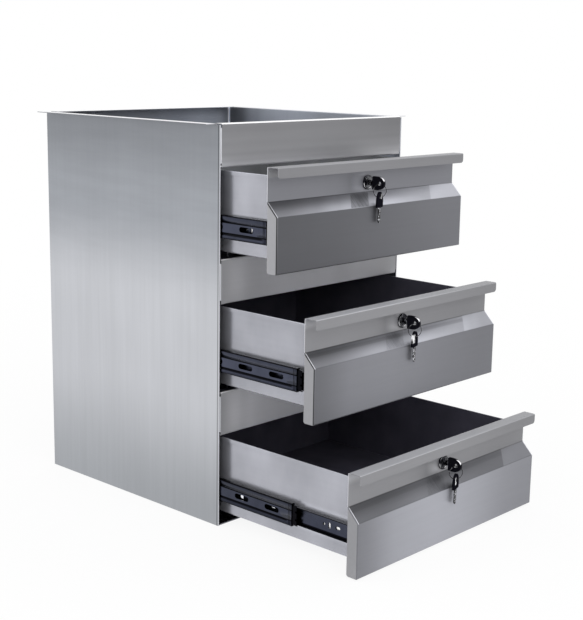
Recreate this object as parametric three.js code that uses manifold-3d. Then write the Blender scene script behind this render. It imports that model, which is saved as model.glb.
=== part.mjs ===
// Outdoor kitchen drawer unit: an open-topped pedestal folded from thin stainless sheet, with three
// locking drawers on three-part ball-bearing slides, drawn with the drawers pulled out in steps.
// Millimetres, +Z up. The drawers open towards -Y and the origin is the middle of the base.
import * as THREE from 'three';
import { mergeVertices } from 'three/addons/utils/BufferGeometryUtils.js';
import Module from 'manifold-3d';

const wasm = await Module();
wasm.setup();

// Overall sizes of the case
const unit_width = 420;
const unit_depth = 415;
const unit_height = 610;
const drawer_count = 3;

// Sheet metal practice
const sheet = 1;
const bend_inside = 1;
const hem_gap = 0.3;
const hem_depth = 9;
const fit_gap = 0.3;
const overrun = 5;
const weld_distance = 0.0001;

// Case details
const top_flange_width = 20;
const flange_front_relief = 8;
const flange_back_relief = 3;
const back_flange_relief = 6;
const rear_return = 15;
const pan_flange = 15;
const top_rail_height = 63;
const mid_rail_height = 67;
const sill_height = 8;
const rail_return = 15;
const rail_tab_depth = 14;
const rail_tab_inset = 6;

// Drawer front: a hooked lip, an upright recess, a slope and a lower plate
const front_overhang = 6.5;
const cover_above = 9;
const cover_below = 6;
const closed_clearance = 0.5;
const lip_depth = 20.5;
const lip_drop = 15;
const lip_corner_radius = 5;
const recess_height = 48.7;
const slope_rise = 20.1;
const slope_run = 19.5;
const return_corner_radius = 3.5;

// Drawer box
const box_top_clearance = 4.5;
const box_bottom_clearance = 10.5;
const box_back_clearance = 16;
const box_hem_depth = 6;

// Three-part slide, measured out from the case wall and up or down from its centre line
const slide_thickness = 12.7;
const slide_steel = 1.2;
const slide_bend_inside = 0.5;
const slide_setback = 10.5;
const slide_back_clearance = 2.2;
const slide_rise = 38.5;
const case_member_height = 45;
const case_member_reach = 10.2;
const case_member_lip = 3;
const runner_height = 35;
const runner_start = 2.4;
const runner_reach = 9.6;
const runner_lip = 2.5;
const drawer_member_height = 27;
const drawer_member_reach = 7.2;
const runner_slot_length = 29;
const runner_slot_width = 8;
const runner_slot_start = 25;
const runner_slot_pitch = 62.5;
const runner_slot_count = 3;
const ball_count = 2;
const ball_pitch = 60;
const ball_end_distance = 14;
const ball_seat_depth = 0.3;
const ball_line_share = 0.62;
const cage_steel = 0.6;
const cage_reach = 3.6;
const cage_overhang = 9;
const cage_margin = 8;
const fixing_slot_length = 9;
const fixing_slot_width = 4.6;
const fixing_slot_place = 22;
const fixing_upright_place = 38;
const fixing_hole_place = 48;

// Where each slide stands, as shares of the travel of each stage, top drawer first
const runner_out_shares = [0.507, 0.822, 0.795];
const drawer_out_shares = [0, 0.0615, 0.516];
const stage_travel_share = 0.5;

// Cam lock, on an axis square to the recess
const bezel_radius = 11;
const bezel_height = 3;
const bezel_chamfer = 1;
const lock_margin = 3;
const barrel_radius = 9;
const barrel_flat = 7.7;
const barrel_length = 17;
const plug_radius = 6;
const plug_inset = 0.4;
const tail_width = 7;
const tail_head_radius = 4.8;
const tail_head_height = 1.5;
const nut_across_flats = 24;
const nut_thickness = 4;
const cam_thickness = 2;
const cam_length = 38;
const cam_root_radius = 8;
const cam_tip_radius = 6;

// Flat key with a moulded head
const key_thickness = 1.8;
const blade_width = 8;
const blade_tip_width = 5;
const blade_depth_in_lock = 13;
const blade_notch_count = 4;
const blade_notch_depth = 1.3;
const tang_length = 6;
const tang_width = 6;
const key_neck = 7.4;
const head_length = 23.5;
const head_width = 20.5;
const head_thickness = 3.2;
const head_hole_radius = 3;
const head_straight_share = 0.38;
const head_hole_share = 0.6;
const head_base_chamfer = 2;

// Key ring, and how the ring and the spare key are turned about the upright
const ring_radius = 10;
const ring_wire_radius = 0.75;
const ring_turn = THREE.MathUtils.degToRad(-37);
const spare_turn = THREE.MathUtils.degToRad(-74);

// Facets
const bend_steps = 3;
const slide_bend_steps = 2;
const round_steps = 18;
const small_round_steps = 10;
const hole_steps = 6;
const slot_steps = 3;
const ring_steps = 18;
const wire_sides = 5;
const ball_sides = 6;
const ball_rings = 3;

// Sizes that follow from the ones above
const half_width = unit_width / 2;
const front_y = -unit_depth / 2;
const back_y = unit_depth / 2;
const half_sheet = sheet / 2;
const bend_radius = bend_inside + half_sheet;
const bend_outside = bend_inside + sheet;
const hem_step = sheet + hem_gap;
const hem_radius = hem_step / 2;
const hem_thickness = hem_step + sheet;
const opening_height = (unit_height - top_rail_height - (drawer_count - 1) * mid_rail_height
  - sill_height) / drawer_count;
const drawer_pitch = opening_height + mid_rail_height;
const front_height = opening_height + cover_above + cover_below;
const front_half_width = half_width + front_overhang;
const closed_stand_off = sheet + closed_clearance;
const slide_length = unit_depth - 2 * sheet - fit_gap - slide_setback - slide_back_clearance;
const stage_travel = slide_length * stage_travel_share;
const box_front = sheet + fit_gap;
const box_length = unit_depth - box_back_clearance - box_front;
const box_half_width = half_width - sheet - slide_thickness - 2 * fit_gap;
const box_bottom = cover_below + box_bottom_clearance;
const box_top = cover_below + opening_height - box_top_clearance;
const recess_foot = front_height - recess_height;
const lock_z = recess_foot + lock_margin + bezel_radius;
const slide_z = box_bottom + slide_rise;
const barrel_end = box_front + barrel_length;
const cam_y = barrel_end + fit_gap;
const tail_end = cam_y + cam_thickness + fit_gap;
const head_base_y = -bezel_height - key_neck;
const hole_y = head_base_y - head_length * head_hole_share;

// Where drawer n stands, from 0 at the top
function openingBottom(n) {
  return unit_height - top_rail_height - opening_height - n * drawer_pitch;
}
function runnerPull(n) {
  return stage_travel * runner_out_shares[n];
}
function drawerPull(n) {
  return runnerPull(n) + stage_travel * drawer_out_shares[n];
}

// Steel and plastic of the real pieces
const finishes = {
  brushed: { color: 0xb9babd, roughness: 0.36, metalness: 1 },
  drawer_side: { color: 0xb2b5bb, roughness: 0.4, metalness: 1 },
  slide: { color: 0x8f949b, roughness: 0.32, metalness: 1 },
  chrome: { color: 0xd6d8dc, roughness: 0.12, metalness: 1 },
  zinc: { color: 0xa9adb0, roughness: 0.42, metalness: 1 },
  head: { color: 0x15161a, roughness: 0.42, metalness: 0 },
  blade: { color: 0xc9c7c0, roughness: 0.25, metalness: 1 },
};

// Solids in and out of the boolean library
function toSolid(geometry) {
  const bare = geometry.clone();
  bare.deleteAttribute('normal');
  bare.deleteAttribute('uv');
  const merged = mergeVertices(bare, weld_distance);
  const triVerts = new Uint32Array(merged.index.array);
  const vertProperties = new Float32Array(merged.attributes.position.array);
  return new wasm.Manifold(new wasm.Mesh({ numProp: 3, vertProperties, triVerts }));
}
function toGeometry(solid) {
  const result = solid.getMesh();
  const geometry = new THREE.BufferGeometry();
  geometry.setAttribute('position', new THREE.BufferAttribute(result.vertProperties, 3));
  geometry.setIndex(new THREE.BufferAttribute(result.triVerts, 1));
  geometry.computeVertexNormals();
  return geometry;
}
function join(...geometries) {
  return geometries.map(toSolid).reduce((sum, next) => sum.add(next));
}
function cut(solid, ...geometries) {
  return geometries.map(toSolid).reduce((rest, next) => rest.subtract(next), solid);
}

// Extrusions of a flat outline: drawn in (x, y) and run up Z, in (y, z) along X, in (x, z) along Y
const axis_x = new THREE.Vector3(1, 0, 0);
const axis_y = new THREE.Vector3(0, 1, 0);
const axis_z = new THREE.Vector3(0, 0, 1);
function prism(outline, depth, steps = round_steps) {
  return new THREE.ExtrudeGeometry(outline, { depth, bevelEnabled: false, curveSegments: steps });
}
function alongZ(outline, from, to, steps) {
  return prism(outline, to - from, steps).translate(0, 0, from);
}
function alongX(outline, from, to, steps) {
  const turn = new THREE.Matrix4().makeBasis(axis_y, axis_z, axis_x);
  return prism(outline, to - from, steps).applyMatrix4(turn).translate(from, 0, 0);
}
function alongY(outline, from, to, steps) {
  const turn = new THREE.Matrix4().makeBasis(axis_x, axis_z, axis_y.clone().negate());
  return prism(outline, to - from, steps).applyMatrix4(turn).translate(0, to, 0);
}
function block(x0, x1, y0, y1, z0, z1) {
  const size = new THREE.BoxGeometry(x1 - x0, y1 - y0, z1 - z0);
  return size.translate((x0 + x1) / 2, (y0 + y1) / 2, (z0 + z1) / 2);
}
function revolve(profile, steps = round_steps) {
  return new THREE.LatheGeometry(profile.map(([r, y]) => new THREE.Vector2(r, y)), steps);
}

// The cross-section of a bent sheet, from the line through the middle of its thickness
function at(x, y, radius = bend_radius) {
  return { place: new THREE.Vector2(x, y), radius };
}
function bentSheet(line, thickness = sheet, steps = bend_steps) {
  const left = [];
  const right = [];
  const half = thickness / 2;
  line.forEach(({ place, radius }, index) => {
    const before = line[index - 1];
    const after = line[index + 1];
    const heading = before ? place.clone().sub(before.place).normalize() : null;
    const leaving = after ? after.place.clone().sub(place).normalize() : null;
    if (!heading || !leaving) {
      const along = heading ?? leaving;
      const side = new THREE.Vector2(-along.y, along.x).multiplyScalar(half);
      left.push(place.clone().add(side));
      right.push(place.clone().sub(side));
      return;
    }
    const turn = Math.atan2(heading.cross(leaving), heading.dot(leaving));
    const inward = new THREE.Vector2(-heading.y, heading.x).multiplyScalar(Math.sign(turn));
    const setback = radius * Math.tan(Math.abs(turn) / 2);
    const centre = place.clone().addScaledVector(heading, -setback).addScaledVector(inward, radius);
    const inner = turn > 0 ? left : right;
    const outer = turn > 0 ? right : left;
    for (let step = 0; step <= steps; step += 1) {
      const spoke = inward.clone().negate().rotateAround(new THREE.Vector2(), (turn * step) / steps);
      inner.push(centre.clone().addScaledVector(spoke, radius - half));
      outer.push(centre.clone().addScaledVector(spoke, radius + half));
    }
  });
  return new THREE.Shape([...left, ...right.reverse()]);
}
function polygon(points) {
  return new THREE.Shape(points.map(([x, y]) => new THREE.Vector2(x, y)));
}

// A square corner less its round, as a cutter that rounds the corner at (x, y)
function cornerCutter(x, y, radius, side_x, side_y) {
  const outline = new THREE.Shape();
  const start = side_x > 0 ? 0 : Math.PI;
  const end = side_y > 0 ? Math.PI / 2 : -Math.PI / 2;
  const centre_x = x - side_x * radius;
  const centre_y = y - side_y * radius;
  outline.moveTo(x + side_x * overrun, centre_y);
  outline.absarc(centre_x, centre_y, radius, start, end, side_x * side_y < 0);
  outline.lineTo(centre_x, y + side_y * overrun);
  outline.lineTo(x + side_x * overrun, y + side_y * overrun);
  return outline;
}
function obround(x, y, length, width, upright = false) {
  const outline = new THREE.Shape();
  const radius = width / 2;
  const straight = length / 2 - radius;
  const step_x = upright ? 0 : straight;
  const step_y = upright ? straight : 0;
  const start = upright ? 0 : -Math.PI / 2;
  outline.absarc(x + step_x, y + step_y, radius, start, start + Math.PI, false);
  outline.absarc(x - step_x, y - step_y, radius, start + Math.PI, start + 2 * Math.PI, false);
  return outline;
}

// A circle with two flats, as the barrel of the lock and the holes that stop it turning
function flattenedCircle(radius, flat, centre_y = 0) {
  const outline = new THREE.Shape();
  const reach = Math.acos(flat / radius);
  outline.absarc(0, centre_y, radius, reach, Math.PI - reach, false);
  outline.absarc(0, centre_y, radius, Math.PI + reach, 2 * Math.PI - reach, false);
  return outline;
}

// Case: side panels with a closed hem in front and a fixing flange turned out along the top
function sidePanel(side) {
  const web_x = side * (half_width - half_sheet);
  const hem_x = web_x - side * hem_step;
  const plan = bentSheet([
    at(hem_x, front_y + hem_depth),
    at(hem_x, front_y + half_sheet, hem_radius),
    at(web_x, front_y + half_sheet, hem_radius),
    at(web_x, back_y - half_sheet),
    at(web_x - side * rear_return, back_y - half_sheet),
  ]);
  const flange = bentSheet([
    at(web_x, unit_height - top_flange_width),
    at(web_x, unit_height - half_sheet),
    at(side * (half_width + top_flange_width), unit_height - half_sheet),
  ]);
  return join(
    alongZ(plan, 0, unit_height - bend_outside),
    alongY(flange, front_y + flange_front_relief, back_y - flange_back_relief),
  );
}

// The back panel lies inside the rear returns of the side panels and turns in along the top
function backPanel() {
  const half = half_width - bend_outside;
  const outer_y = back_y - sheet - fit_gap;
  const web_y = outer_y - half_sheet;
  const top = bentSheet([
    at(web_y, unit_height - top_flange_width),
    at(web_y, unit_height - half_sheet),
    at(outer_y - top_flange_width, unit_height - half_sheet),
  ]);
  const top_half = half - back_flange_relief;
  return join(
    block(-half, half, outer_y - sheet, outer_y, 0, unit_height - bend_outside),
    alongX(top, -top_half, top_half),
  );
}

// The floor pan: side and rear walls turned up, and a closed hem along its front edge
function bottomPanel() {
  const wall_x = half_width - sheet - fit_gap - half_sheet;
  const strip_x = half_width - hem_thickness - fit_gap;
  const pan_start = front_y + hem_depth + fit_gap;
  const rear_y = back_y - 2 * (sheet + fit_gap) - half_sheet;
  const across = bentSheet([
    at(-wall_x, pan_flange),
    at(-wall_x, half_sheet),
    at(wall_x, half_sheet),
    at(wall_x, pan_flange),
  ]);
  const front = bentSheet([
    at(front_y + hem_depth, half_sheet + hem_step),
    at(front_y + half_sheet, half_sheet + hem_step, hem_radius),
    at(front_y + half_sheet, half_sheet, hem_radius),
    at(pan_start + overrun, half_sheet),
  ]);
  const rear = bentSheet([
    at(rear_y - pan_flange, half_sheet),
    at(rear_y, half_sheet),
    at(rear_y, pan_flange),
  ]);
  const rear_half = wall_x - bend_radius;
  return join(
    alongY(across, pan_start, rear_y - bend_radius),
    alongX(front, -strip_x, strip_x),
    alongX(rear, -rear_half, rear_half),
  );
}

// A cross rail: a channel with its web in front and a welding tab turned back at each end
function rail(bottom, top) {
  const end_x = half_width - hem_thickness - fit_gap;
  const web_y = front_y + half_sheet;
  const channel = bentSheet([
    at(front_y + rail_return, top - half_sheet),
    at(web_y, top - half_sheet),
    at(web_y, bottom + half_sheet),
    at(front_y + rail_return, bottom + half_sheet),
  ]);
  const tab_x = end_x - half_sheet;
  const tabs = bentSheet([
    at(-tab_x, front_y + rail_tab_depth),
    at(-tab_x, web_y),
    at(tab_x, web_y),
    at(tab_x, front_y + rail_tab_depth),
  ]);
  const inner_x = tab_x - bend_radius;
  return join(
    alongX(channel, -inner_x, inner_x),
    alongZ(tabs, bottom + rail_tab_inset, top - rail_tab_inset),
  );
}

// Slide sections, as places out from the case wall and up from the centre line
function wallX(side, out) {
  return side * (half_width - sheet - fit_gap - out);
}
function channelSection(side, height, web_out, edge_out, lip) {
  const web_x = wallX(side, web_out + slide_steel / 2);
  const edge_x = wallX(side, edge_out - slide_steel / 2);
  const level = height / 2 - slide_steel / 2;
  const radius = slide_bend_inside + slide_steel / 2;
  return bentSheet([
    at(edge_x, height / 2 - lip),
    at(edge_x, level, radius),
    at(web_x, level, radius),
    at(web_x, -level, radius),
    at(edge_x, -level, radius),
    at(edge_x, lip - height / 2),
  ], slide_steel, slide_bend_steps);
}
function caseMember(side) {
  const section = channelSection(side, case_member_height, 0, case_member_reach, case_member_lip);
  return join(alongY(section, 0, slide_length));
}

// Two rows of balls sit on each raceway of the runner: outside it towards the back, where the case
// member always covers them, and inside it towards the front, where the drawer member does. A cage,
// a thin strip bent to a channel, holds the inner rows and stands past the front end of the runner.
function ballRow(side, level, radius, from_y) {
  const balls = [];
  const line_x = wallX(side, case_member_reach * ball_line_share);
  for (let n = 0; n < ball_count; n += 1) {
    const ball = new THREE.SphereGeometry(radius, ball_sides, ball_rings).rotateX(Math.PI / 2);
    balls.push(ball.translate(line_x, from_y + n * ball_pitch, level));
  }
  return balls;
}
function ballCage(side, level, from_y, to_y) {
  const web_x = wallX(side, runner_start + slide_steel + fit_gap + cage_steel / 2);
  const edge_x = wallX(side, runner_start + slide_steel + fit_gap + cage_reach);
  const radius = slide_bend_inside + cage_steel / 2;
  const section = bentSheet([
    at(edge_x, level),
    at(web_x, level, radius),
    at(web_x, -level, radius),
    at(edge_x, -level),
  ], cage_steel, 1);
  return alongY(section, from_y, to_y);
}
function runner(side) {
  const section = channelSection(side, runner_height, runner_start, runner_reach, runner_lip);
  const outer_race = case_member_height / 2 - slide_steel;
  const outer_face = runner_height / 2;
  const inner_face = outer_face - slide_steel;
  const inner_race = drawer_member_height / 2;
  const outer_ball = (outer_race - outer_face - fit_gap + ball_seat_depth) / 2;
  const inner_ball = (inner_face - inner_race - fit_gap + ball_seat_depth) / 2;
  const outer_level = outer_face - ball_seat_depth + outer_ball;
  const inner_level = inner_face + ball_seat_depth - inner_ball;
  const row_length = (ball_count - 1) * ball_pitch;
  const rear_row = slide_length - ball_end_distance - row_length;
  const body = join(
    alongY(section, 0, slide_length),
    ...ballRow(side, outer_level, outer_ball, rear_row),
    ...ballRow(side, -outer_level, outer_ball, rear_row),
    ...ballRow(side, inner_level, inner_ball, ball_end_distance),
    ...ballRow(side, -inner_level, inner_ball, ball_end_distance),
  );
  const cage_end = ball_end_distance + row_length + cage_margin;
  const cage = join(ballCage(side, inner_level, -cage_overhang, cage_end));
  const web_x = wallX(side, runner_start);
  const cutters = [];
  for (let n = 0; n < runner_slot_count; n += 1) {
    const middle = runner_slot_start + runner_slot_length / 2 + n * runner_slot_pitch;
    const slot = obround(middle, 0, runner_slot_length, runner_slot_width);
    const near = web_x - slide_steel * 2;
    const far = web_x + slide_steel * 2;
    cutters.push(alongX(slot, near, far, slot_steps));
  }
  return cut(body, ...cutters).add(cage);
}

// The drawer member: a channel screwed to the box, its web against the box side
function drawerMember(side) {
  const web_x = wallX(side, slide_thickness - slide_steel / 2);
  const edge_x = wallX(side, slide_thickness - drawer_member_reach);
  const level = drawer_member_height / 2 - slide_steel / 2;
  const radius = slide_bend_inside + slide_steel / 2;
  const section = bentSheet([
    at(edge_x, level),
    at(web_x, level, radius),
    at(web_x, -level, radius),
    at(edge_x, -level),
  ], slide_steel, slide_bend_steps);
  const near = web_x - slide_steel;
  const far = web_x + slide_steel;
  const hole = new THREE.Shape();
  hole.absarc(fixing_hole_place, 0, fixing_slot_width / 2, 0, 2 * Math.PI, false);
  const openings = [
    obround(fixing_slot_place, 0, fixing_slot_length, fixing_slot_width),
    obround(fixing_upright_place, 0, fixing_slot_length, fixing_slot_width, true),
    hole,
  ];
  const cutters = openings.map((opening) => alongX(opening, near, far, slot_steps));
  return cut(join(alongY(section, 0, slide_length)), ...cutters);
}

// Drawer front, in its own frame: y 0 is the face of the recess and z 0 the bottom edge
function drawerFront() {
  const lower_y = half_sheet - slope_run;
  const lip_y = half_sheet - lip_depth;
  const top_z = front_height - half_sheet;
  const slope_foot = recess_foot - slope_rise;
  const section = bentSheet([
    at(lip_y, front_height - lip_drop),
    at(lip_y, top_z),
    at(half_sheet, top_z),
    at(half_sheet, recess_foot),
    at(lower_y, slope_foot),
    at(lower_y, half_sheet),
    at(-return_corner_radius, half_sheet),
  ]);
  const cheek = new THREE.Shape();
  cheek.moveTo(lower_y, half_sheet);
  cheek.lineTo(-return_corner_radius, 0);
  cheek.absarc(-return_corner_radius, return_corner_radius, return_corner_radius, -Math.PI / 2, 0);
  cheek.lineTo(0, recess_foot - half_sheet);
  cheek.lineTo(lower_y, slope_foot);
  const inner_x = front_half_width - sheet;
  const body = join(
    alongX(section, -front_half_width, front_half_width),
    alongX(cheek, -front_half_width, -inner_x, slot_steps),
    alongX(cheek, inner_x, front_half_width, slot_steps),
  );
  const lip_foot = front_height - lip_drop;
  const corners = [-1, 1].map((side) => {
    const cutter = cornerCutter(side * front_half_width, lip_foot, lip_corner_radius, side, -1);
    return alongY(cutter, -lip_depth - overrun, bend_outside - lip_depth, slot_steps);
  });
  const hole = flattenedCircle(barrel_radius + fit_gap, barrel_flat + fit_gap, lock_z);
  return cut(body, ...corners, alongY(hole, -sheet, sheet + fit_gap / 2, hole_steps));
}

// Drawer box: a trough folded from one sheet, its top edges hemmed outwards, with two end walls
function drawerBox() {
  const side_x = box_half_width - half_sheet;
  const hem_x = side_x + hem_step;
  const floor_z = box_bottom + half_sheet;
  const rim_z = box_top - half_sheet;
  const trough = bentSheet([
    at(-hem_x, box_top - box_hem_depth),
    at(-hem_x, rim_z, hem_radius),
    at(-side_x, rim_z, hem_radius),
    at(-side_x, floor_z),
    at(side_x, floor_z),
    at(side_x, rim_z, hem_radius),
    at(hem_x, rim_z, hem_radius),
    at(hem_x, box_top - box_hem_depth),
  ]);
  const box_back = box_front + box_length;
  const endWall = (face_y, inward) => bentSheet([
    at(face_y + inward * (half_sheet + hem_step), box_top - box_hem_depth),
    at(face_y + inward * (half_sheet + hem_step), rim_z, hem_radius),
    at(face_y + inward * half_sheet, rim_z, hem_radius),
    at(face_y + inward * half_sheet, box_bottom),
  ]);
  const body = join(
    alongY(trough, box_front, box_back),
    alongX(endWall(box_front, 1), -side_x, side_x),
    alongX(endWall(box_back, -1), -side_x, side_x),
  );
  const hole = flattenedCircle(barrel_radius + fit_gap, barrel_flat + fit_gap, lock_z);
  return cut(body, alongY(hole, box_front - fit_gap / 2, box_front + sheet * 2, hole_steps));
}

// Lock pieces, in a frame on the lock axis with y 0 at the face of the recess
function lockHousing() {
  const bore = plug_radius + fit_gap;
  const back = -fit_gap;
  const profile = [
    [bore, -bezel_height],
    [bezel_radius - bezel_chamfer, -bezel_height],
    [bezel_radius, bezel_chamfer - bezel_height],
    [bezel_radius, back],
    [barrel_radius, back],
    [barrel_radius, barrel_end],
    [bore, barrel_end],
    [bore, -bezel_height],
  ];
  const far = bezel_radius * 2;
  return cut(
    join(revolve(profile)),
    block(barrel_flat, far, back, barrel_end + overrun, -far, far),
    block(-far, -barrel_flat, back, barrel_end + overrun, -far, far),
  );
}
function lockNut() {
  const corner = nut_across_flats / 2 / Math.cos(Math.PI / 6);
  const points = [0, 1, 2, 3, 4, 5].map((n) => {
    const angle = (n * Math.PI) / 3;
    return [corner * Math.cos(angle), corner * Math.sin(angle)];
  });
  const outline = polygon(points);
  const hole = new THREE.Path();
  hole.absarc(0, 0, barrel_radius + fit_gap, 0, 2 * Math.PI, true);
  outline.holes.push(hole);
  const start = box_front + sheet + fit_gap;
  return join(alongY(outline, start, start + nut_thickness, round_steps));
}
function lockPlug() {
  const front = plug_inset - bezel_height;
  const profile = [
    [0, front],
    [plug_radius, front],
    [plug_radius, barrel_end],
    [0, barrel_end],
  ];
  const head = [
    [0, tail_end],
    [tail_head_radius, tail_end],
    [tail_head_radius, tail_end + tail_head_height],
    [0, tail_end + tail_head_height],
  ];
  const half_tail = tail_width / 2;
  const overlap = tail_head_height / 2;
  const body = join(
    revolve(profile, round_steps),
    block(-half_tail, half_tail, barrel_end - overlap, tail_end + overlap, -half_tail, half_tail),
    revolve(head, small_round_steps),
  );
  const half_slot = key_thickness / 2 + fit_gap;
  const slot_height = blade_width / 2 + fit_gap;
  const slot_end = blade_depth_in_lock + fit_gap;
  return cut(body, block(-half_slot, half_slot, front - overrun, slot_end, -slot_height, slot_height));
}
function lockCam() {
  const outline = new THREE.Shape();
  const tip_x = cam_length - cam_tip_radius;
  const lean = Math.asin((cam_root_radius - cam_tip_radius) / tip_x);
  const up = Math.PI / 2 - lean;
  outline.absarc(0, 0, cam_root_radius, up, 2 * Math.PI - up, false);
  outline.absarc(tip_x, 0, cam_tip_radius, -up, up, false);
  const half_hole = tail_width / 2 + fit_gap;
  const hole = new THREE.Path([
    new THREE.Vector2(-half_hole, -half_hole),
    new THREE.Vector2(-half_hole, half_hole),
    new THREE.Vector2(half_hole, half_hole),
    new THREE.Vector2(half_hole, -half_hole),
  ]);
  outline.holes.push(hole);
  return join(alongY(outline, cam_y, cam_y + cam_thickness, hole_steps));
}

// The blade runs from a tang inside the head to its tip inside the lock, notched along one edge
function keyBlade() {
  const half = blade_width / 2;
  const tip = blade_depth_in_lock;
  const tang_end = head_base_y - tang_length;
  const notched = tip - blade_tip_width / 2 - fit_gap * 2;
  const pitch = (notched + bezel_height) / blade_notch_count;
  const points = [
    [tang_end, -tang_width / 2],
    [head_base_y + fit_gap, -tang_width / 2],
    [head_base_y + fit_gap, -half],
    [notched, -half],
    [tip, -blade_tip_width / 4],
    [tip, blade_tip_width / 4],
    [notched, half],
  ];
  for (let n = 0; n < blade_notch_count; n += 1) {
    const y = notched - n * pitch;
    points.push([y - pitch / 4, half - blade_notch_depth]);
    points.push([y - pitch / 2, half - blade_notch_depth]);
    points.push([y - (pitch * 3) / 4, half]);
  }
  points.push([head_base_y + fit_gap, half]);
  points.push([head_base_y + fit_gap, tang_width / 2]);
  points.push([tang_end, tang_width / 2]);
  return join(alongX(polygon(points), -key_thickness / 2, key_thickness / 2));
}
function keyHead() {
  const outline = new THREE.Shape();
  const half = head_width / 2;
  const straight = head_base_y - head_length * head_straight_share;
  const round = head_length * (1 - head_straight_share);
  outline.moveTo(head_base_y, half - head_base_chamfer);
  outline.lineTo(head_base_y - head_base_chamfer, half);
  outline.absellipse(straight, 0, round, half, Math.PI / 2, (3 * Math.PI) / 2, false);
  outline.lineTo(head_base_y - head_base_chamfer, -half);
  outline.lineTo(head_base_y, head_base_chamfer - half);
  const hole = new THREE.Path();
  hole.absarc(hole_y, 0, head_hole_radius, 0, 2 * Math.PI, true);
  outline.holes.push(hole);
  const half_pocket = key_thickness / 2 + fit_gap;
  const pocket_height = tang_width / 2 + fit_gap;
  const pocket_end = head_base_y - tang_length - fit_gap;
  return cut(
    join(alongX(outline, -head_thickness / 2, head_thickness / 2, small_round_steps)),
    block(-half_pocket, half_pocket, pocket_end, head_base_y + overrun, -pocket_height, pocket_height),
  );
}

// The split ring hangs in the hole of the key, and the spare key hangs from the ring's lowest point.
// The wire crosses both holes at a slant, so its side step and its own curve come off the seat.
function ringSeat(slant) {
  const half_run = head_thickness / 2 / Math.cos(slant);
  const side_step = half_run * Math.sin(Math.abs(slant));
  const curve = ring_radius - Math.sqrt(ring_radius ** 2 - half_run ** 2);
  const hole = head_hole_radius * Math.cos(Math.PI / small_round_steps);
  const reach = hole - fit_gap - ring_wire_radius / Math.cos(slant);
  return Math.sqrt(reach ** 2 - side_step ** 2) - curve;
}
function keyRing() {
  const torus = new THREE.TorusGeometry(ring_radius, ring_wire_radius, wire_sides, ring_steps);
  return join(torus.rotateX(Math.PI / 2));
}

// The scene: named meshes in nested groups
const unit = new THREE.Group();
const case_group = new THREE.Group();
unit.add(case_group);

function place(parent, name, finish, solid, x = 0, y = 0, z = 0) {
  const mesh = new THREE.Mesh(toGeometry(solid), new THREE.MeshStandardMaterial(finishes[finish]));
  mesh.name = name;
  mesh.position.set(x, y, z);
  parent.add(mesh);
  return mesh;
}
const sides = [['left', -1], ['right', 1]];

for (const [word, side] of sides) {
  place(case_group, `${word}_side_panel`, 'brushed', sidePanel(side));
}
place(case_group, 'back_panel', 'brushed', backPanel());
place(case_group, 'bottom_panel', 'brushed', bottomPanel());
place(case_group, 'top_rail', 'brushed', rail(unit_height - top_rail_height, unit_height));
for (let n = 1; n < drawer_count; n += 1) {
  const top = openingBottom(n - 1);
  place(case_group, `middle_rail_${n}`, 'brushed', rail(top - mid_rail_height, top));
}

for (let n = 0; n < drawer_count; n += 1) {
  const number = n + 1;
  const base_z = openingBottom(n) - cover_below;
  const rail_z = base_z + slide_z;
  const slide_y = front_y + slide_setback;
  const drawer = new THREE.Group();
  drawer.position.set(0, front_y - closed_stand_off - drawerPull(n), base_z);
  unit.add(drawer);
  for (const [word, side] of sides) {
    const runner_y = slide_y - runnerPull(n);
    const member_y = slide_setback + closed_stand_off;
    place(case_group, `${word}_case_slide_${number}`, 'slide', caseMember(side), 0, slide_y, rail_z);
    place(unit, `${word}_runner_${number}`, 'slide', runner(side), 0, runner_y, rail_z);
    place(drawer, `${word}_drawer_slide_${number}`, 'slide', drawerMember(side), 0, member_y, slide_z);
  }
  place(drawer, `drawer_front_${number}`, 'brushed', drawerFront());
  place(drawer, `drawer_box_${number}`, 'drawer_side', drawerBox());

  const lock = new THREE.Group();
  lock.position.z = lock_z;
  drawer.add(lock);
  place(lock, `lock_housing_${number}`, 'chrome', lockHousing());
  place(lock, `lock_nut_${number}`, 'zinc', lockNut());
  place(lock, `lock_plug_${number}`, 'chrome', lockPlug());
  place(lock, `lock_cam_${number}`, 'zinc', lockCam());
  place(lock, `key_blade_${number}`, 'blade', keyBlade());
  place(lock, `key_head_${number}`, 'head', keyHead());

  const ring_z = -ringSeat(ring_turn) - ring_radius;
  const ring = place(lock, `key_ring_${number}`, 'blade', keyRing(), 0, hole_y, ring_z);
  ring.rotation.z = ring_turn;
  const spare = new THREE.Group();
  spare.position.set(0, hole_y, ring_z - ring_radius - ringSeat(spare_turn - ring_turn));
  spare.rotation.set(-Math.PI / 2, 0, spare_turn, 'ZYX');
  lock.add(spare);
  place(spare, `spare_blade_${number}`, 'blade', keyBlade(), 0, -hole_y);
  place(spare, `spare_head_${number}`, 'head', keyHead(), 0, -hole_y);
}

export default unit;
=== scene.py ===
"""Finish, camera and light for an outdoor kitchen drawer unit: satin stainless sheet, dark slides,
chromed locks and black-headed keys. Metres, +Z up, the drawers open towards -Y."""
import math

import bmesh
import bpy
from mathutils import Matrix, Vector


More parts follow.
